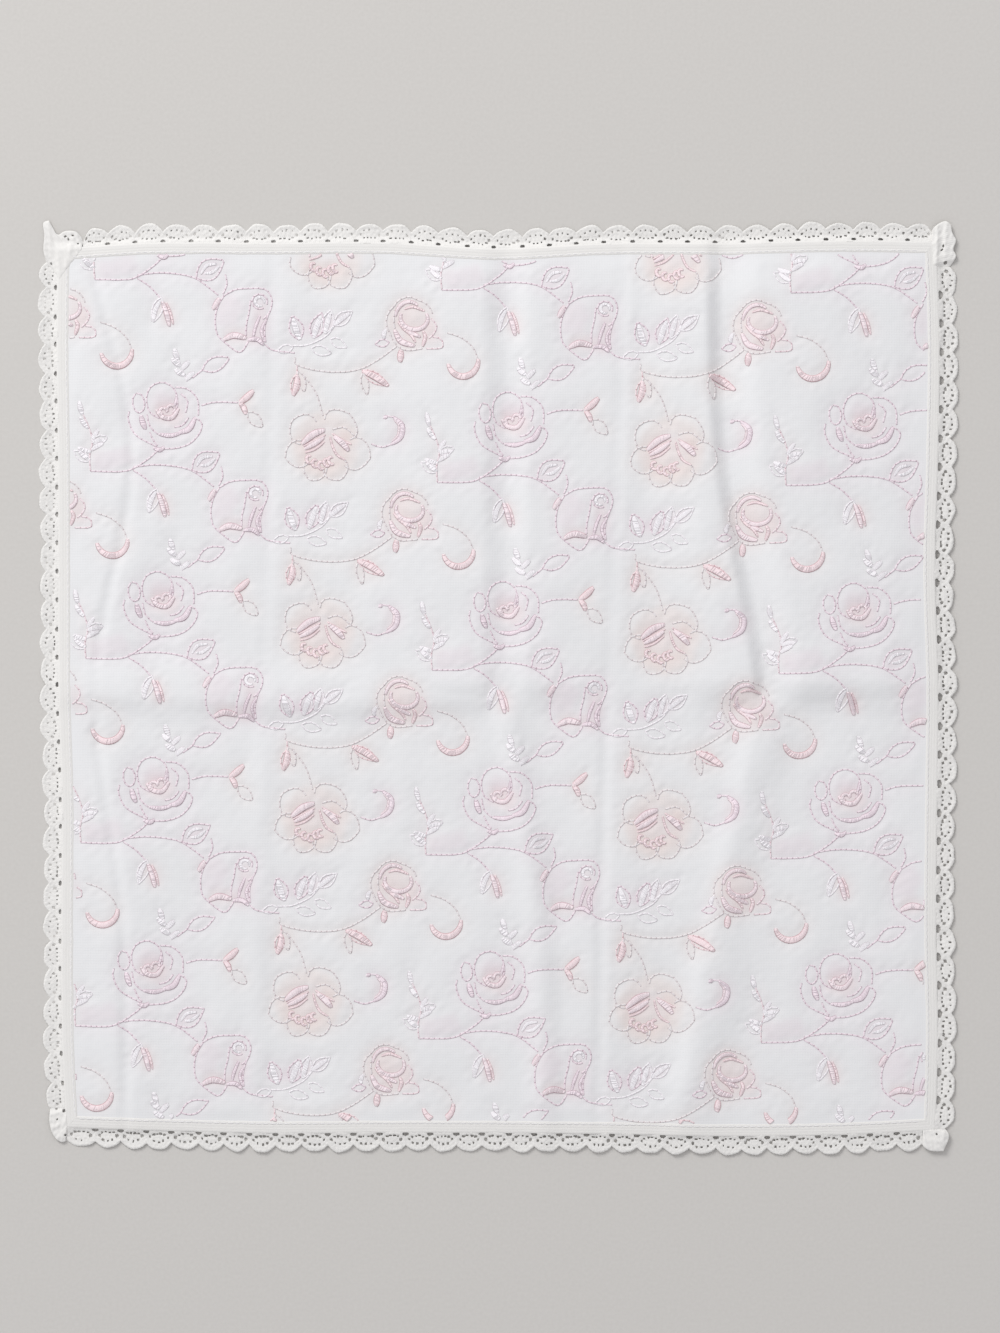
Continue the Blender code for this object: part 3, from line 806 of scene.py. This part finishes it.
RUN_PITCH = 1.75  # one running stitch and the gap to the next
SATIN_PITCH = 0.38
TINT_PITCH = 0.9
SLANT = 0.3  # how far a satin stitch leans along its band
SATIN_END = 0.35  # a band's width at its ends against its middle
NEAR = 0.2  # how far along a line its direction is read
EMBROIDERY_CLEAR = LACE_LAP - HEADING_FROM - 0.1  # the cloth's border that the heading covers
ALONG = np.array([0, 0.15, 0.85, 1])  # the four places of a running stitch
ACROSS = np.array([-1, -0.74, 0.74, 1])  # and of a satin stitch


def along_line(line, marks):
    """Places on a line at distances along it."""
    run = np.concatenate([[0], np.linalg.norm(np.diff(line, axis=0), axis=1).cumsum()])
    return np.stack([np.interp(marks, run, line[:, axis]) for axis in (0, 1)], -1)


def length_of(line):
    return float(np.linalg.norm(np.diff(line, axis=0), axis=1).sum())


def running_stitches(line):
    """(stitches, 4, xy): each stitch from where it comes up to where it goes down."""
    count = max(1, round(length_of(line) / RUN_PITCH))
    return along_line(line, (np.arange(count)[:, None] + ALONG) * length_of(line) / count)


def stations(line, pitch):
    """Evenly spaced places on a line, the ways ahead and across at each, and their shares of its length."""
    total = length_of(line)
    count = max(3, round(total / pitch))
    share = (np.arange(count) + 0.5) / count
    ahead = along_line(line, share * total + NEAR) - along_line(line, share * total - NEAR)
    ahead /= np.linalg.norm(ahead, axis=1, keepdims=True) + TINY
    return along_line(line, share * total), ahead, np.stack([-ahead[:, 1], ahead[:, 0]], -1), share


def satin_stitches(line, wide):
    """Threads laid side by side across a band that is full in its middle and fine at its ends."""
    here, ahead, across, share = stations(line, SATIN_PITCH)
    half = wide / 2 * (SATIN_END + (1 - SATIN_END) * np.sin(math.pi * share) ** 0.6)
    return here[:, None] + (ahead * SLANT + across)[:, None] * (half[:, None, None] * ACROSS[None, :, None])


def tinted_places(line, wide):
    """(places, 1, xy) spread evenly over a band."""
    here, _, across, _ = stations(line, TINT_PITCH)
    offsets = np.arange(-wide / 2 + TINT_PITCH / 2, wide / 2, TINT_PITCH)
    return (here[:, None] + across[:, None] * offsets[None, :, None]).reshape(-1, 1, 2)


def all_stitches():
    """Each thread's run and satin stitches (n, 4, xy) and tinted places (n, 1, xy), clear of the lace."""
    empty = {"run": np.zeros((0, 4, 2)), "satin": np.zeros((0, 4, 2)), "tinted": np.zeros((0, 1, 2))}
    found = {thread: {kind: [none] for kind, none in empty.items()} for thread in SPUN}
    for kind, thread, line, wide in whole_design().strokes:
        if from_edge(line[:, 0], line[:, 1]).max() < EMBROIDERY_CLEAR:
            continue
        if kind == "run":
            made = running_stitches(line)
        elif kind == "satin":
            made = satin_stitches(line, wide)
        else:
            made = tinted_places(line, wide)
        inside = (from_edge(made[..., 0], made[..., 1]) > EMBROIDERY_CLEAR).all(1)
        found[thread][kind].append(made[inside])
    for kinds in found.values():
        kinds.update({kind: np.concatenate(made) for kind, made in kinds.items()})
    return found


# ---- The gauze ----

FRONT_LEVEL = 1.02  # the front ply where nothing holds it down or up
BACK_LEVEL = 0.42
FRONT_CELL = 0.955  # width of a cell of its grid
BACK_CELL = 3.1
QUILT_DEEP, QUILT_WIDE = 0.18, 1.15  # the dent along a line of stitches
PUFF_HIGH, PUFF_WIDE = 0.17, 4.0  # how far the cloth stands up away from it
PUCKER_FROM, PUCKER_WIDE = 1.7, 1.5  # where small puckers lie beside the stitches

# What the thread's colour leaves of the cloth's, seen through and beside it
TINTS = {"lilac": "#fef9fb", "pink": "#fffafa", "coral": "#fffbfa", "peach": "#fffaf8", "white": "#fffefe"}
# kind: (how much cloth one stitch colours, how far its colour spreads in mm, how strong it gets)
TINTING_KINDS = {"run": (1.75, 2.2, 2.5), "satin": (0.8, 2.2, 2.5), "tinted": (0.9, 0.9, 1.7)}


def cloth_edges(x, y):
    """The cloth's left and right edge at a level y, and its bottom and top edge at x."""
    left, right = (on_side(side, y, LACE_LAP)[0] for side in ("left", "right"))
    low, high = (on_side(side, x, LACE_LAP)[1] for side in ("bottom", "top"))
    return left, right, low, high


def cloth_grid(columns, rows):
    """x and y of a grid of (rows + 1) by (columns + 1) places over the cloth."""
    share_x, share_y = np.linspace(0, 1, columns + 1)[None], np.linspace(0, 1, rows + 1)[:, None]
    level = (share_y - 0.5) * CLOTH_HEIGHT + np.zeros_like(share_x)
    left, right, _, _ = cloth_edges(level, level)
    x = left + (right - left) * share_x
    _, _, low, high = cloth_edges(x, x)
    return x, low + (high - low) * share_y


def grid_faces(rows, columns, flipped=False):
    """The faces of a grid of places, up, or down if flipped."""
    index = np.arange((rows + 1) * (columns + 1)).reshape(rows + 1, columns + 1)
    corners = [index[:-1, :-1], index[:-1, 1:], index[1:, 1:], index[1:, :-1]]
    return np.stack(corners[::-1] if flipped else corners, -1).reshape(-1, 4)


def blurred(grid, cells):
    """A grid with each value spread over a number of cells."""
    reach = int(3 * cells)
    weights = np.exp(-0.5 * (np.arange(-reach, reach + 1) / cells) ** 2)
    weights /= weights.sum()
    for axis in (0, 1):
        grid = np.apply_along_axis(lambda line: np.convolve(line, weights, "same"), axis, grid)
    return grid


class Gauze:
    """The two plies. The front one is a grid of heights, which the stitches read to know where they lie."""

    def __init__(self, stitches):
        self.columns, self.rows = (round(size / FRONT_CELL) for size in (CLOTH_WIDTH, CLOTH_HEIGHT))
        self.x, self.y = cloth_grid(self.columns, self.rows)
        self.stitches = stitches
        self.z = self.heights()

    def share(self, x, y):
        """Where places are on the grid, in cells."""
        _, _, low, high = cloth_edges(x, y)
        share_y = (y - low) / (high - low)
        level = (share_y - 0.5) * CLOTH_HEIGHT
        left, right, _, _ = cloth_edges(level, level)
        return (x - left) / (right - left) * self.columns, share_y * self.rows

    def stitch_distance(self):
        """How far each place of the grid is from the nearest stitch."""
        sewn = [kinds[kind] for kinds in self.stitches.values() for kind in ("run", "satin")]
        places = np.concatenate([made[:, (0, 2)].reshape(-1, 2) for made in sewn])
        tree = KDTree(len(places))
        for number, (x, y) in enumerate(places):
            tree.insert((x, y, 0), number)
        tree.balance()
        flat = [tree.find((x, y, 0))[2] for x, y in zip(self.x.ravel(), self.y.ravel())]
        return np.array(flat).reshape(self.x.shape)

    def heights(self):
        """Folds, the quilting of the stitches, and the puckers and slack of a cloth that was washed."""
        x, y = self.x, self.y
        near = self.stitch_distance()
        border = smooth_step((from_edge(x, y) - 2.5) / 5)  # it lies flat under the lace
        puff = PUFF_HIGH * (1 - bell(near, PUFF_WIDE)) - QUILT_DEEP * bell(near, QUILT_WIDE)
        pulled = bell(near - PUCKER_FROM, PUCKER_WIDE)
        puckers = 0.09 * pulled * ripples(x, y, 3.2, 11) + 0.03 * ripples(x, y, 3.6, 12)
        slack = 0.06 * ripples(x, y, 13, 13, 1.8) + 0.12 * ripples(x, y, 34, 14, 2.6)
        return FRONT_LEVEL + lift(x, y) + border * (puff + puckers + slack + 0.1)

    def height(self, x, y):
        """The height of the ply at any places, read between the places of its grid."""
        across, along = self.share(x, y)
        i = np.clip(along.astype(int), 0, self.rows - 1)
        j = np.clip(across.astype(int), 0, self.columns - 1)
        v, u = along - i, across - j
        z = self.z
        low = z[i, j] * (1 - u) + z[i, j + 1] * u
        high = z[i + 1, j] * (1 - u) + z[i + 1, j + 1] * u
        return low * (1 - v) + high * v

    def tints(self):
        """The colour that each place takes from the thread around it, as linear RGBA."""
        tint = np.ones((*self.x.shape, 4))
        for thread, kinds in self.stitches.items():
            amount = np.zeros(self.x.shape)
            for kind, (weight, spread, strength) in TINTING_KINDS.items():
                across, along = self.share(*kinds[kind].mean(1).T)
                places = (np.clip(np.rint(along), 0, self.rows), np.clip(np.rint(across), 0, self.columns))
                laid = np.zeros(self.x.shape)
                np.add.at(laid, tuple(place.astype(int) for place in places), weight)
                amount += strength * (1 - np.exp(-blurred(laid, spread / FRONT_CELL)))
            tint *= np.array(hexed(TINTS[thread])) ** amount[..., None]
        return tint

    def front(self, material):
        points = np.stack([self.x, self.y, self.z], -1).reshape(-1, 3)
        faces = grid_faces(self.rows, self.columns)
        return mesh_piece("gauze_front", points, [faces], material, [("tint", "FLOAT_COLOR", self.tints())])

    def back(self, material):
        """The back ply, and the turned edge that joins it to the front."""
        columns, rows = (round(size / BACK_CELL) for size in (CLOTH_WIDTH, CLOTH_HEIGHT))
        x, y = cloth_grid(columns, rows)
        z = BACK_LEVEL + lift(x, y) + 0.04 * ripples(x, y, 9, 15)
        points = np.stack([x, y, z], -1).reshape(-1, 3)
        index = np.arange((rows + 1) * (columns + 1)).reshape(rows + 1, columns + 1)
        rim = np.concatenate([index[0, :-1], index[:-1, -1], index[-1, :0:-1], index[:0:-1, 0]])
        raised = points[rim].copy()
        raised[:, 2] = self.height(raised[:, 0], raised[:, 1]) - 0.02
        upper = len(points) + np.arange(len(rim))
        edge = np.stack([rim, np.roll(rim, -1), np.roll(upper, -1), upper], -1)
        faces = [grid_faces(rows, columns, flipped=True), edge]
        return mesh_piece("gauze_back", np.concatenate([points, raised]), faces, material)


# ---- Thread on the cloth ----

# Half width and half height of a thread
RUN_SIZE = (0.23, 0.09)
SATIN_SIZE = (0.27, 0.13)
BOBBIN_SIZE = (0.18, 0.12)
SEAM_SIZE = (0.13, 0.06)
# How much painted shade a stitch takes at its four places, where it dives into the cloth, and how far it
# rises there
RUN_PAINTED_SHADE, RUN_RISE = np.array([1, 0.05, 0.05, 1]), np.array([-0.03, 0.05, 0.05, -0.03])
# a satin band is painted in shade along both edges, where its threads go down into the cloth, and is light in
# its middle
SATIN_PAINTED_SHADE, SATIN_RISE = np.array([1, 0, 0, 1]), np.array([-0.08, 1, 1, -0.08])
SEAM_RISE = np.array([0, 0.06, 0.06, 0])
BOBBIN_UNDER = 0.15  # how far the bobbin thread's middle is under the back ply
SEAM_PITCH, SEAM_LONG = 2.3, 1.85  # a stitch of the seam and its gap, and the stitch
SEAM_IN = 0.8  # from the heading's inner line out to the seam


def stitch_lines(gauze, stitches, rise):
    """The centre lines of stitches: their places on the front ply, and how far each point rises from it."""
    x, y = stitches[..., 0], stitches[..., 1]
    return np.stack([x, y, gauze.height(x, y) + rise], -1)


def embroider(gauze, thread, kinds, full, material):
    """All the stitches of one thread. A wide satin stitch stands higher than a narrow one."""
    yarns = Yarns()
    run, satin = kinds["run"], kinds["satin"]
    loose = 1 + 0.15 * RNG.standard_normal((len(run), 1))
    yarns.add(stitch_lines(gauze, run, RUN_RISE * loose), *RUN_SIZE, RUN_PAINTED_SHADE)
    wide = np.linalg.norm(satin[:, 3] - satin[:, 0], axis=1)[:, None]
    stray = 0.02 * RNG.standard_normal((len(satin), 1))
    rise = SATIN_RISE * full * (0.08 + 0.07 * wide) + stray
    yarns.add(stitch_lines(gauze, satin, rise), *SATIN_SIZE, SATIN_PAINTED_SHADE)
    return yarns.piece("stitching_" + thread, material)


def bobbin_side(stitches, material):
    """The running stitches seen from the back: white bobbin thread, flat against the back ply."""
    yarns = Yarns()
    run = np.concatenate([kinds["run"][:, (0, 3)] for kinds in stitches.values()])
    x, y = run[..., 0], run[..., 1]
    yarns.add(np.stack([x, y, BACK_LEVEL + lift(x, y) - BOBBIN_UNDER], -1), *BOBBIN_SIZE)
    return yarns.piece("stitching_back", material)


# ---- The lace ----

# Distances out from the lace's inner line
FANS_FROM = 4.1  # where the fans come out from under the heading
CREST = 10.7  # a fan's outer edge in its middle
# Levels
LACE_LEVEL = 1.16  # the heading where it lies on the cloth
LACE_FOOT = 0.22  # and the fans where they lie on the surface
LACE_OFF = 0.5  # how far the lace of the right and bottom sides stands off it
LOWEST = 0.02  # no lace lies lower
# Details
RIB_HIGH, RIB_PITCH = 0.035, 0.92  # the faint ribs of the heading
RIM_WIDE = 0.4  # how far round a hole the lace is drawn towards it
RIM_SHARP = 0.2  # how narrow the rim is that sinks to the hole
LOOP_HIGH, LOOP_PITCH = 0.06, 0.97  # the small loops of a fan's outer edge
FAN_BOW = 2.3  # how round a fan is: 2 is an arch, and more is squarer
FAN_HALF = 4.5  # half width of the fan that the holes are placed for
HOLE_CLEAR = 1.0  # the least lace between a hole and the outer edge
FAN_STEPS = 1180  # places along a side
FAN_ROWS = (*np.linspace(0, 0.9, 19), 0.93, 0.96, 0.985, 1)  # and shares of the way out
HEADING_STEPS, HEADING_LINES = 260, 16
CORNER_ROWS = (0, 0.02, 0.05, *np.linspace(0.08, 0.9, 22), 0.93, 0.96, 0.985, 1)
CORNER_STEPS = 60  # places from a heading to the tip

# side: (how far out its notches are, how much further out its holes are, their size, half length and half
# width of the eyelets between its fans)
FANS = {
    "top": (8.3, -0.3, 0.75, (1.1, 0.42)),
    "left": (8.5, -0.3, 0.78, (1.1, 0.45)),
    "bottom": (8.6, -0.6, 1.0, (1.4, 0.48)),
    "right": (8.8, 0.0, 1.0, (1.9, 0.7)),
}
# Places along a fan and out from the heading, half length and half width
FAN_HOLES = (
    (-3.1, 3.0, 0.42, 0.42),
    (3.1, 2.9, 0.46, 0.42),
    (-2.0, 2.0, 0.5, 0.27),
    (-0.7, 1.8, 0.42, 0.25),
    (0.7, 1.8, 0.42, 0.25),
    (2.0, 2.0, 0.5, 0.27),
    (-1.7, 4.2, 0.34, 0.27),
    (0.0, 4.5, 0.38, 0.27),
    (1.7, 4.2, 0.34, 0.27),
)


def settled(places, up=0.0):
    """Places (x, y) at the lace's own level: on the cloth at its heading, then down to the surface."""
    x, y = places[..., 0], places[..., 1]
    down = smooth_step((LACE_LAP - from_edge(x, y) - RAMP_START) / (RAMP_END - RAMP_START))
    foot = LACE_FOOT + LACE_OFF * smooth_step((x - y) / 160 + 0.35)
    level = LACE_LEVEL - (LACE_LEVEL - foot) * down + lift(x, y) * (1 - 0.6 * down)
    return np.stack([x, y, np.maximum(level + up, LOWEST)], -1)


def side_ends(side):
    """The ends of a side, low end first: (way out, where the heading turns, start, last notch)."""
    is_row = SIDES[side][0]
    kind, axis = ("row", 0) if is_row else ("column", 1)
    ends = []
    for corner in CORNERS:
        if side in (corner["row"], corner["column"]):
            outward = SIDES[corner["column"] if is_row else corner["row"]][1]
            turn = corner_point(corner["row"], corner["column"], 0)[axis]
            notch = corner[kind + "_edge"][0]
            ends.append((outward, turn, corner[kind + "_start"], notch if is_row else notch[::-1]))
    return sorted(ends)


def pierced(places, holes):
    """A grid of places drawn towards the rims of holes, how near a rim each is, and the faces left closed.

    A hole is (along, out, half length, half width, how much it narrows outward).
    """
    places = places.copy()
    rim, inside = np.zeros(places.shape[:-1]), np.zeros(places.shape[:-1], bool)
    for along, out, long, wide, narrowing in holes:
        window = np.flatnonzero(np.abs(places[..., 0] - along).min(0) < long + RIM_WIDE)
        if not len(window):
            continue
        part = slice(window[0], window[-1] + 1)
        offset = places[:, part] - (along, out)
        reach = long * (1 - narrowing * np.clip(offset[..., 1] / wide / 2 + 0.5, 0, 1))
        far = np.maximum(np.hypot(offset[..., 0] / reach, offset[..., 1] / wide), 0.1)
        past = RIM_WIDE / min(long, wide)
        drawn = np.where(np.abs(far - 1 - past / 2) <= past / 2, 1 + (far - 1) ** 2 / past, far)
        places[:, part] = (along, out) + offset * (drawn / far)[..., None]
        rim[:, part] = np.maximum(rim[:, part], bell((drawn - 1) * min(long, wide), RIM_SHARP))
        inside[:, part] |= far < 1
    open_faces = inside[:-1, :-1] | inside[1:, :-1] | inside[:-1, 1:] | inside[1:, 1:]
    return places, rim, ~open_faces


def rounded_off(from_rim, wide, drop):
    """How far a soft edge curls down, at a distance from it."""
    return -drop * (1 - np.sqrt(1 - np.clip(1 - from_rim / wide, 0, 1) ** 2))


def fan_holes(side, middles, notches, edge_at):
    """The small holes of every fan and the eyelets between them."""
    _, further, size, eyelet = FANS[side]
    holes = [(notch, HEADING + 0.15 + eyelet[1], *eyelet, 0.7) for notch in notches[1:-1]]
    for middle, low, high in zip(middles, notches[:-1], notches[1:]):
        for along, out, long, wide in FAN_HOLES:
            grown = size * RNG.uniform(0.55, 1.25)
            reach = high - middle if along > 0 else middle - low
            place = middle + along / FAN_HALF * reach + RNG.uniform(-0.2, 0.2)
            furthest = edge_at(place) - HOLE_CLEAR - wide * grown
            place_out = min(HEADING + out + further + RNG.uniform(-0.2, 0.2), furthest)
            holes.append((place, place_out, long * grown, wide * grown, 0.0))
    return holes


def add_fans(yarns, side):
    """The scalloped part of the lace: close stitching with a fuller outer edge, small holes and eyelets.

    No two fans are quite alike: their notches, crests and holes stray a little.
    """
    low, high = side_ends(side)
    count = SIDES[side][2] + 1
    middles = np.linspace(*(turn - outward * start for outward, turn, start, _ in (low, high)), count)
    notches = (middles[1:] + middles[:-1]) / 2 + RNG.uniform(-0.3, 0.3, count - 1)
    ends = [turn + outward * notch[0] for outward, turn, _, notch in (low, high)]
    notches = np.concatenate([ends[:1], notches, ends[1:]])
    notch_out = FANS[side][0] + RNG.uniform(-0.35, 0.35, count + 1)
    notch_out[0], notch_out[-1] = low[3][1], high[3][1]
    along = np.linspace(notches[0], notches[-1], FAN_STEPS)
    fan = np.clip(np.searchsorted(notches, along) - 1, 0, count - 1)
    reach = np.where(along > middles[fan], notches[fan + 1] - middles[fan], middles[fan] - notches[fan])
    share = (along - middles[fan]) / reach
    notch = notch_out[fan + (share > 0)]
    crest = CREST + RNG.uniform(-0.35, 0.25, count)[fan]
    edge = notch + (crest - notch) * (1 - np.abs(share) ** FAN_BOW)
    edge = edge + LOOP_HIGH * np.cos(2 * math.pi * along / LOOP_PITCH)
    edge = edge + 0.12 * ripples(along, along * 0, 5, 37)
    rows = np.array(FAN_ROWS)[:, None]
    places = np.stack([along + 0 * rows, FANS_FROM + (edge - FANS_FROM) * rows], -1)
    holes = fan_holes(side, middles, notches, lambda place: np.interp(place, along, edge))
    places, rim, closed = pierced(places, holes)
    out = places[..., 1]
    # a fuller cord inside the outer edge, rims that sink to the holes, and an edge that curls down
    up = 0.1 * bell(edge - out - 0.65, 0.4) - 0.12 * rim + rounded_off(edge - out, 0.4, 0.2)
    # uneven stitching and a slight wave, and a dip where the fans come out from under the heading
    up += 0.05 * ripples(along, out, 1.3, 38) + 0.12 * ripples(along, out, 9, 39)
    up -= 0.1 * bell(out - FANS_FROM, 0.5)
    lines = settled(np.stack(on_side(side, places[..., 0], out), -1), up)
    facing_up = SIDES[side][0] == (SIDES[side][1] < 0)
    yarns.band(*((lines, closed) if facing_up else (lines[::-1], closed[::-1])))


def add_heading(yarns, side):
    """The close band that is sewn down, with faint ribs along it and a fuller one at its inner line."""
    is_row = SIDES[side][0]
    ends = [corner for corner in CORNERS if side in (corner["row"], corner["column"])]
    ends.sort(key=lambda corner: SIDES[corner["column"] if is_row else corner["row"]][1])
    lines = []
    for out in np.linspace(HEADING_FROM, HEADING + 0.1, HEADING_LINES):
        turns = [corner_point(corner["row"], corner["column"], out)[0 if is_row else 1] for corner in ends]
        along = np.linspace(*turns, HEADING_STEPS)
        place = np.stack(on_side(side, along, out + 0.05 * ripples(along, along * 0, 7, 31)), -1)
        inside = out - HEADING_FROM
        rib = RIB_HIGH * math.cos(2 * math.pi * (out - 0.35) / RIB_PITCH) + 0.06 * bell(inside - 0.4, 0.3)
        rim = -0.16 * math.exp(-inside / 0.12)  # its inner edge turns down to the cloth
        lines.append(settled(place, rib + rim + 0.015 * ripples(along, along * 0 + out, 2.4, 32)))
    facing_up = np.array(lines) if is_row == (SIDES[side][1] < 0) else np.array(lines)[::-1]
    yarns.band(facing_up)


def evenly(places, count):
    """Evenly spaced places along a line."""
    line = np.array(places, float)
    return along_line(line, np.linspace(0, length_of(line), count))


def corner_place(corner, places):
    """x and y of places (out past the column side, out past the row side)."""
    x, y = corner_point(corner["row"], corner["column"], 0)
    return places * (SIDES[corner["column"]][1], SIDES[corner["row"]][1]) + (x, y)


def near_line(places, start, end):
    """How far places are from a straight line between two others."""
    start, along = np.array(start), np.subtract(end, start)
    share = np.clip((places - start) @ along / (along @ along), 0, 1)
    return np.linalg.norm(places - start - share[..., None] * along, axis=-1)


def add_corner(yarns, corner):
    """The gathered lace of a corner: close and soft, with rounded edges, a few folds and small holes."""
    row = evenly(curve(*corner["row_edge"], corner["tip"]), CORNER_STEPS)
    column = evenly(curve(*corner["column_edge"], corner["tip"]), CORNER_STEPS)
    outer = np.concatenate([row, column[-2::-1]])
    inner = evenly(corner["inner"], len(outer))
    share = np.array(CORNER_ROWS)[:, None]
    places = inner + (outer - inner) * share[..., None]
    places, rim, closed = pierced(places, [(x, y, radius, radius, 0.0) for x, y, radius in corner["holes"]])
    ends = np.linspace(0, 1, len(outer))
    fade = smooth_step(ends / 0.12) * smooth_step((1 - ends) / 0.12)  # its ends go under the headings
    up = corner["high"] * smooth_step(share / 0.6) + 0.06 * ripples(places[..., 0], places[..., 1], 1.7, 41)
    for start, end, high in corner["folds"]:
        up = up + high * bell(near_line(places, start, end), 0.8)
    up = (0.2 + up) * fade - 0.12 - 0.12 * rim
    up = up + rounded_off((1 - share) * 6, 0.6, 0.3) + rounded_off(share * 6, 0.4, 0.25)
    lines = settled(corner_place(corner, places), up)
    outside = SIDES[corner["column"]][1] * SIDES[corner["row"]][1]
    yarns.band(*((lines, closed) if outside < 0 else (lines[::-1], closed[::-1])))


def edge_side(side, material):
    """The lace of one side. The top and the bottom take the corners with them."""
    yarns = Yarns()
    add_heading(yarns, side)
    add_fans(yarns, side)
    for corner in CORNERS:
        if corner["row"] == side:
            add_corner(yarns, corner)
    return yarns.piece("edging_" + side, material, "lace_" + side, "lace")


def seam_stitches(material):
    """The machine stitches that hold the heading to the cloth."""
    yarns = Yarns()
    for side in SIDES:
        (_, low, _, _), (_, high, _, _) = side_ends(side)
        starts = np.arange(low, high - 2, SEAM_PITCH)[:, None]
        along = starts + np.linspace(0, SEAM_LONG, 4) + 0.15
        places = np.stack(on_side(side, along, HEADING_FROM + SEAM_IN), -1)
        yarns.add(settled(places, SEAM_RISE), *SEAM_SIZE)
    return yarns.piece("stitching_seam", material)


# ---- The stage: the light's and the camera's places are metres ----

BOARD_HALF = 6000.0
LENS = 85


def level_board():
    """The board it lies on, far larger than what the camera sees."""
    corners = [(-1, -1, 0), (1, -1, 0), (1, 1, 0), (-1, 1, 0)]
    board = mesh_piece("board", np.array(corners) * BOARD_HALF, [np.array([[0, 1, 2, 3]])], painted_board())


def add_light(name, place, size, power):
    """A round soft light that faces the middle of the cloth."""
    light = bpy.data.lights.new(name, "AREA")
    light.shape = "DISK"
    light.size, light.energy = size, power
    made = bpy.data.objects.new(name, light)
    made.location = place
    made.rotation_euler = (-Vector(place)).to_track_quat("-Z", "Y").to_euler()
    bpy.context.scene.collection.objects.link(made)


def light_the_scene():
    """A soft window from the upper left, and a white room around."""
    add_light("window", (-1.1, 1.6, 1.3), 1.0, 31.0)
    world = bpy.data.worlds.new("white_room")
    world.use_nodes = True
    world.node_tree.nodes["Background"].inputs["Color"].default_value = hexed("#fbfbff")
    world.node_tree.nodes["Background"].inputs["Strength"].default_value = 0.63
    bpy.context.scene.world = world
    bpy.context.scene.view_settings.view_transform = "Standard"


def look_from_above():
    """A long lens, looking straight down."""
    camera = bpy.data.cameras.new("camera")
    camera.lens, camera.clip_start = LENS, 0.05
    made = bpy.data.objects.new("camera", camera)
    made.location = (0.001, 0.0065, 1.027)
    bpy.context.scene.collection.objects.link(made)
    bpy.context.scene.camera = made


# ---- The whole thing ----


def make_handkerchief():
    """Every piece in turn. Embroidery thread has a slight silky gloss, bobbin thread less, lace none."""
    stitches = all_stitches()
    gauze = Gauze(stitches)
    front = gauze.front(cotton_gauze("cotton_gauze", "#f3f3f3", "#ebebeb"))
    back = gauze.back(cotton_gauze("cotton_gauze_back", "#f3f3f4", "#e9e9ea", tinted=False))
    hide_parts("cloth")
    pieces = []
    for thread, kinds in stitches.items():
        light, shade_and_strand_tone, full = SPUN[thread]
        material = thread_material("embroidery_thread_" + thread, light, shade_and_strand_tone, roughness=0.55, ply=1.1)
        pieces.append(embroider(gauze, thread, kinds, full, material))
    bobbin = thread_material("bobbin_thread", "#f6f4f4", "#e2dfdf", roughness=0.6, ply=1.0)
    pieces.append(bobbin_side(stitches, bobbin))
    pieces.append(seam_stitches(bobbin))
    lace = thread_material("lace_cotton", "#efede9", "#dedbd5", roughness=0.9, ply=1.3)
    pieces += [edge_side(side, lace) for side in SIDES]


make_handkerchief()
level_board()
light_the_scene()
look_from_above()
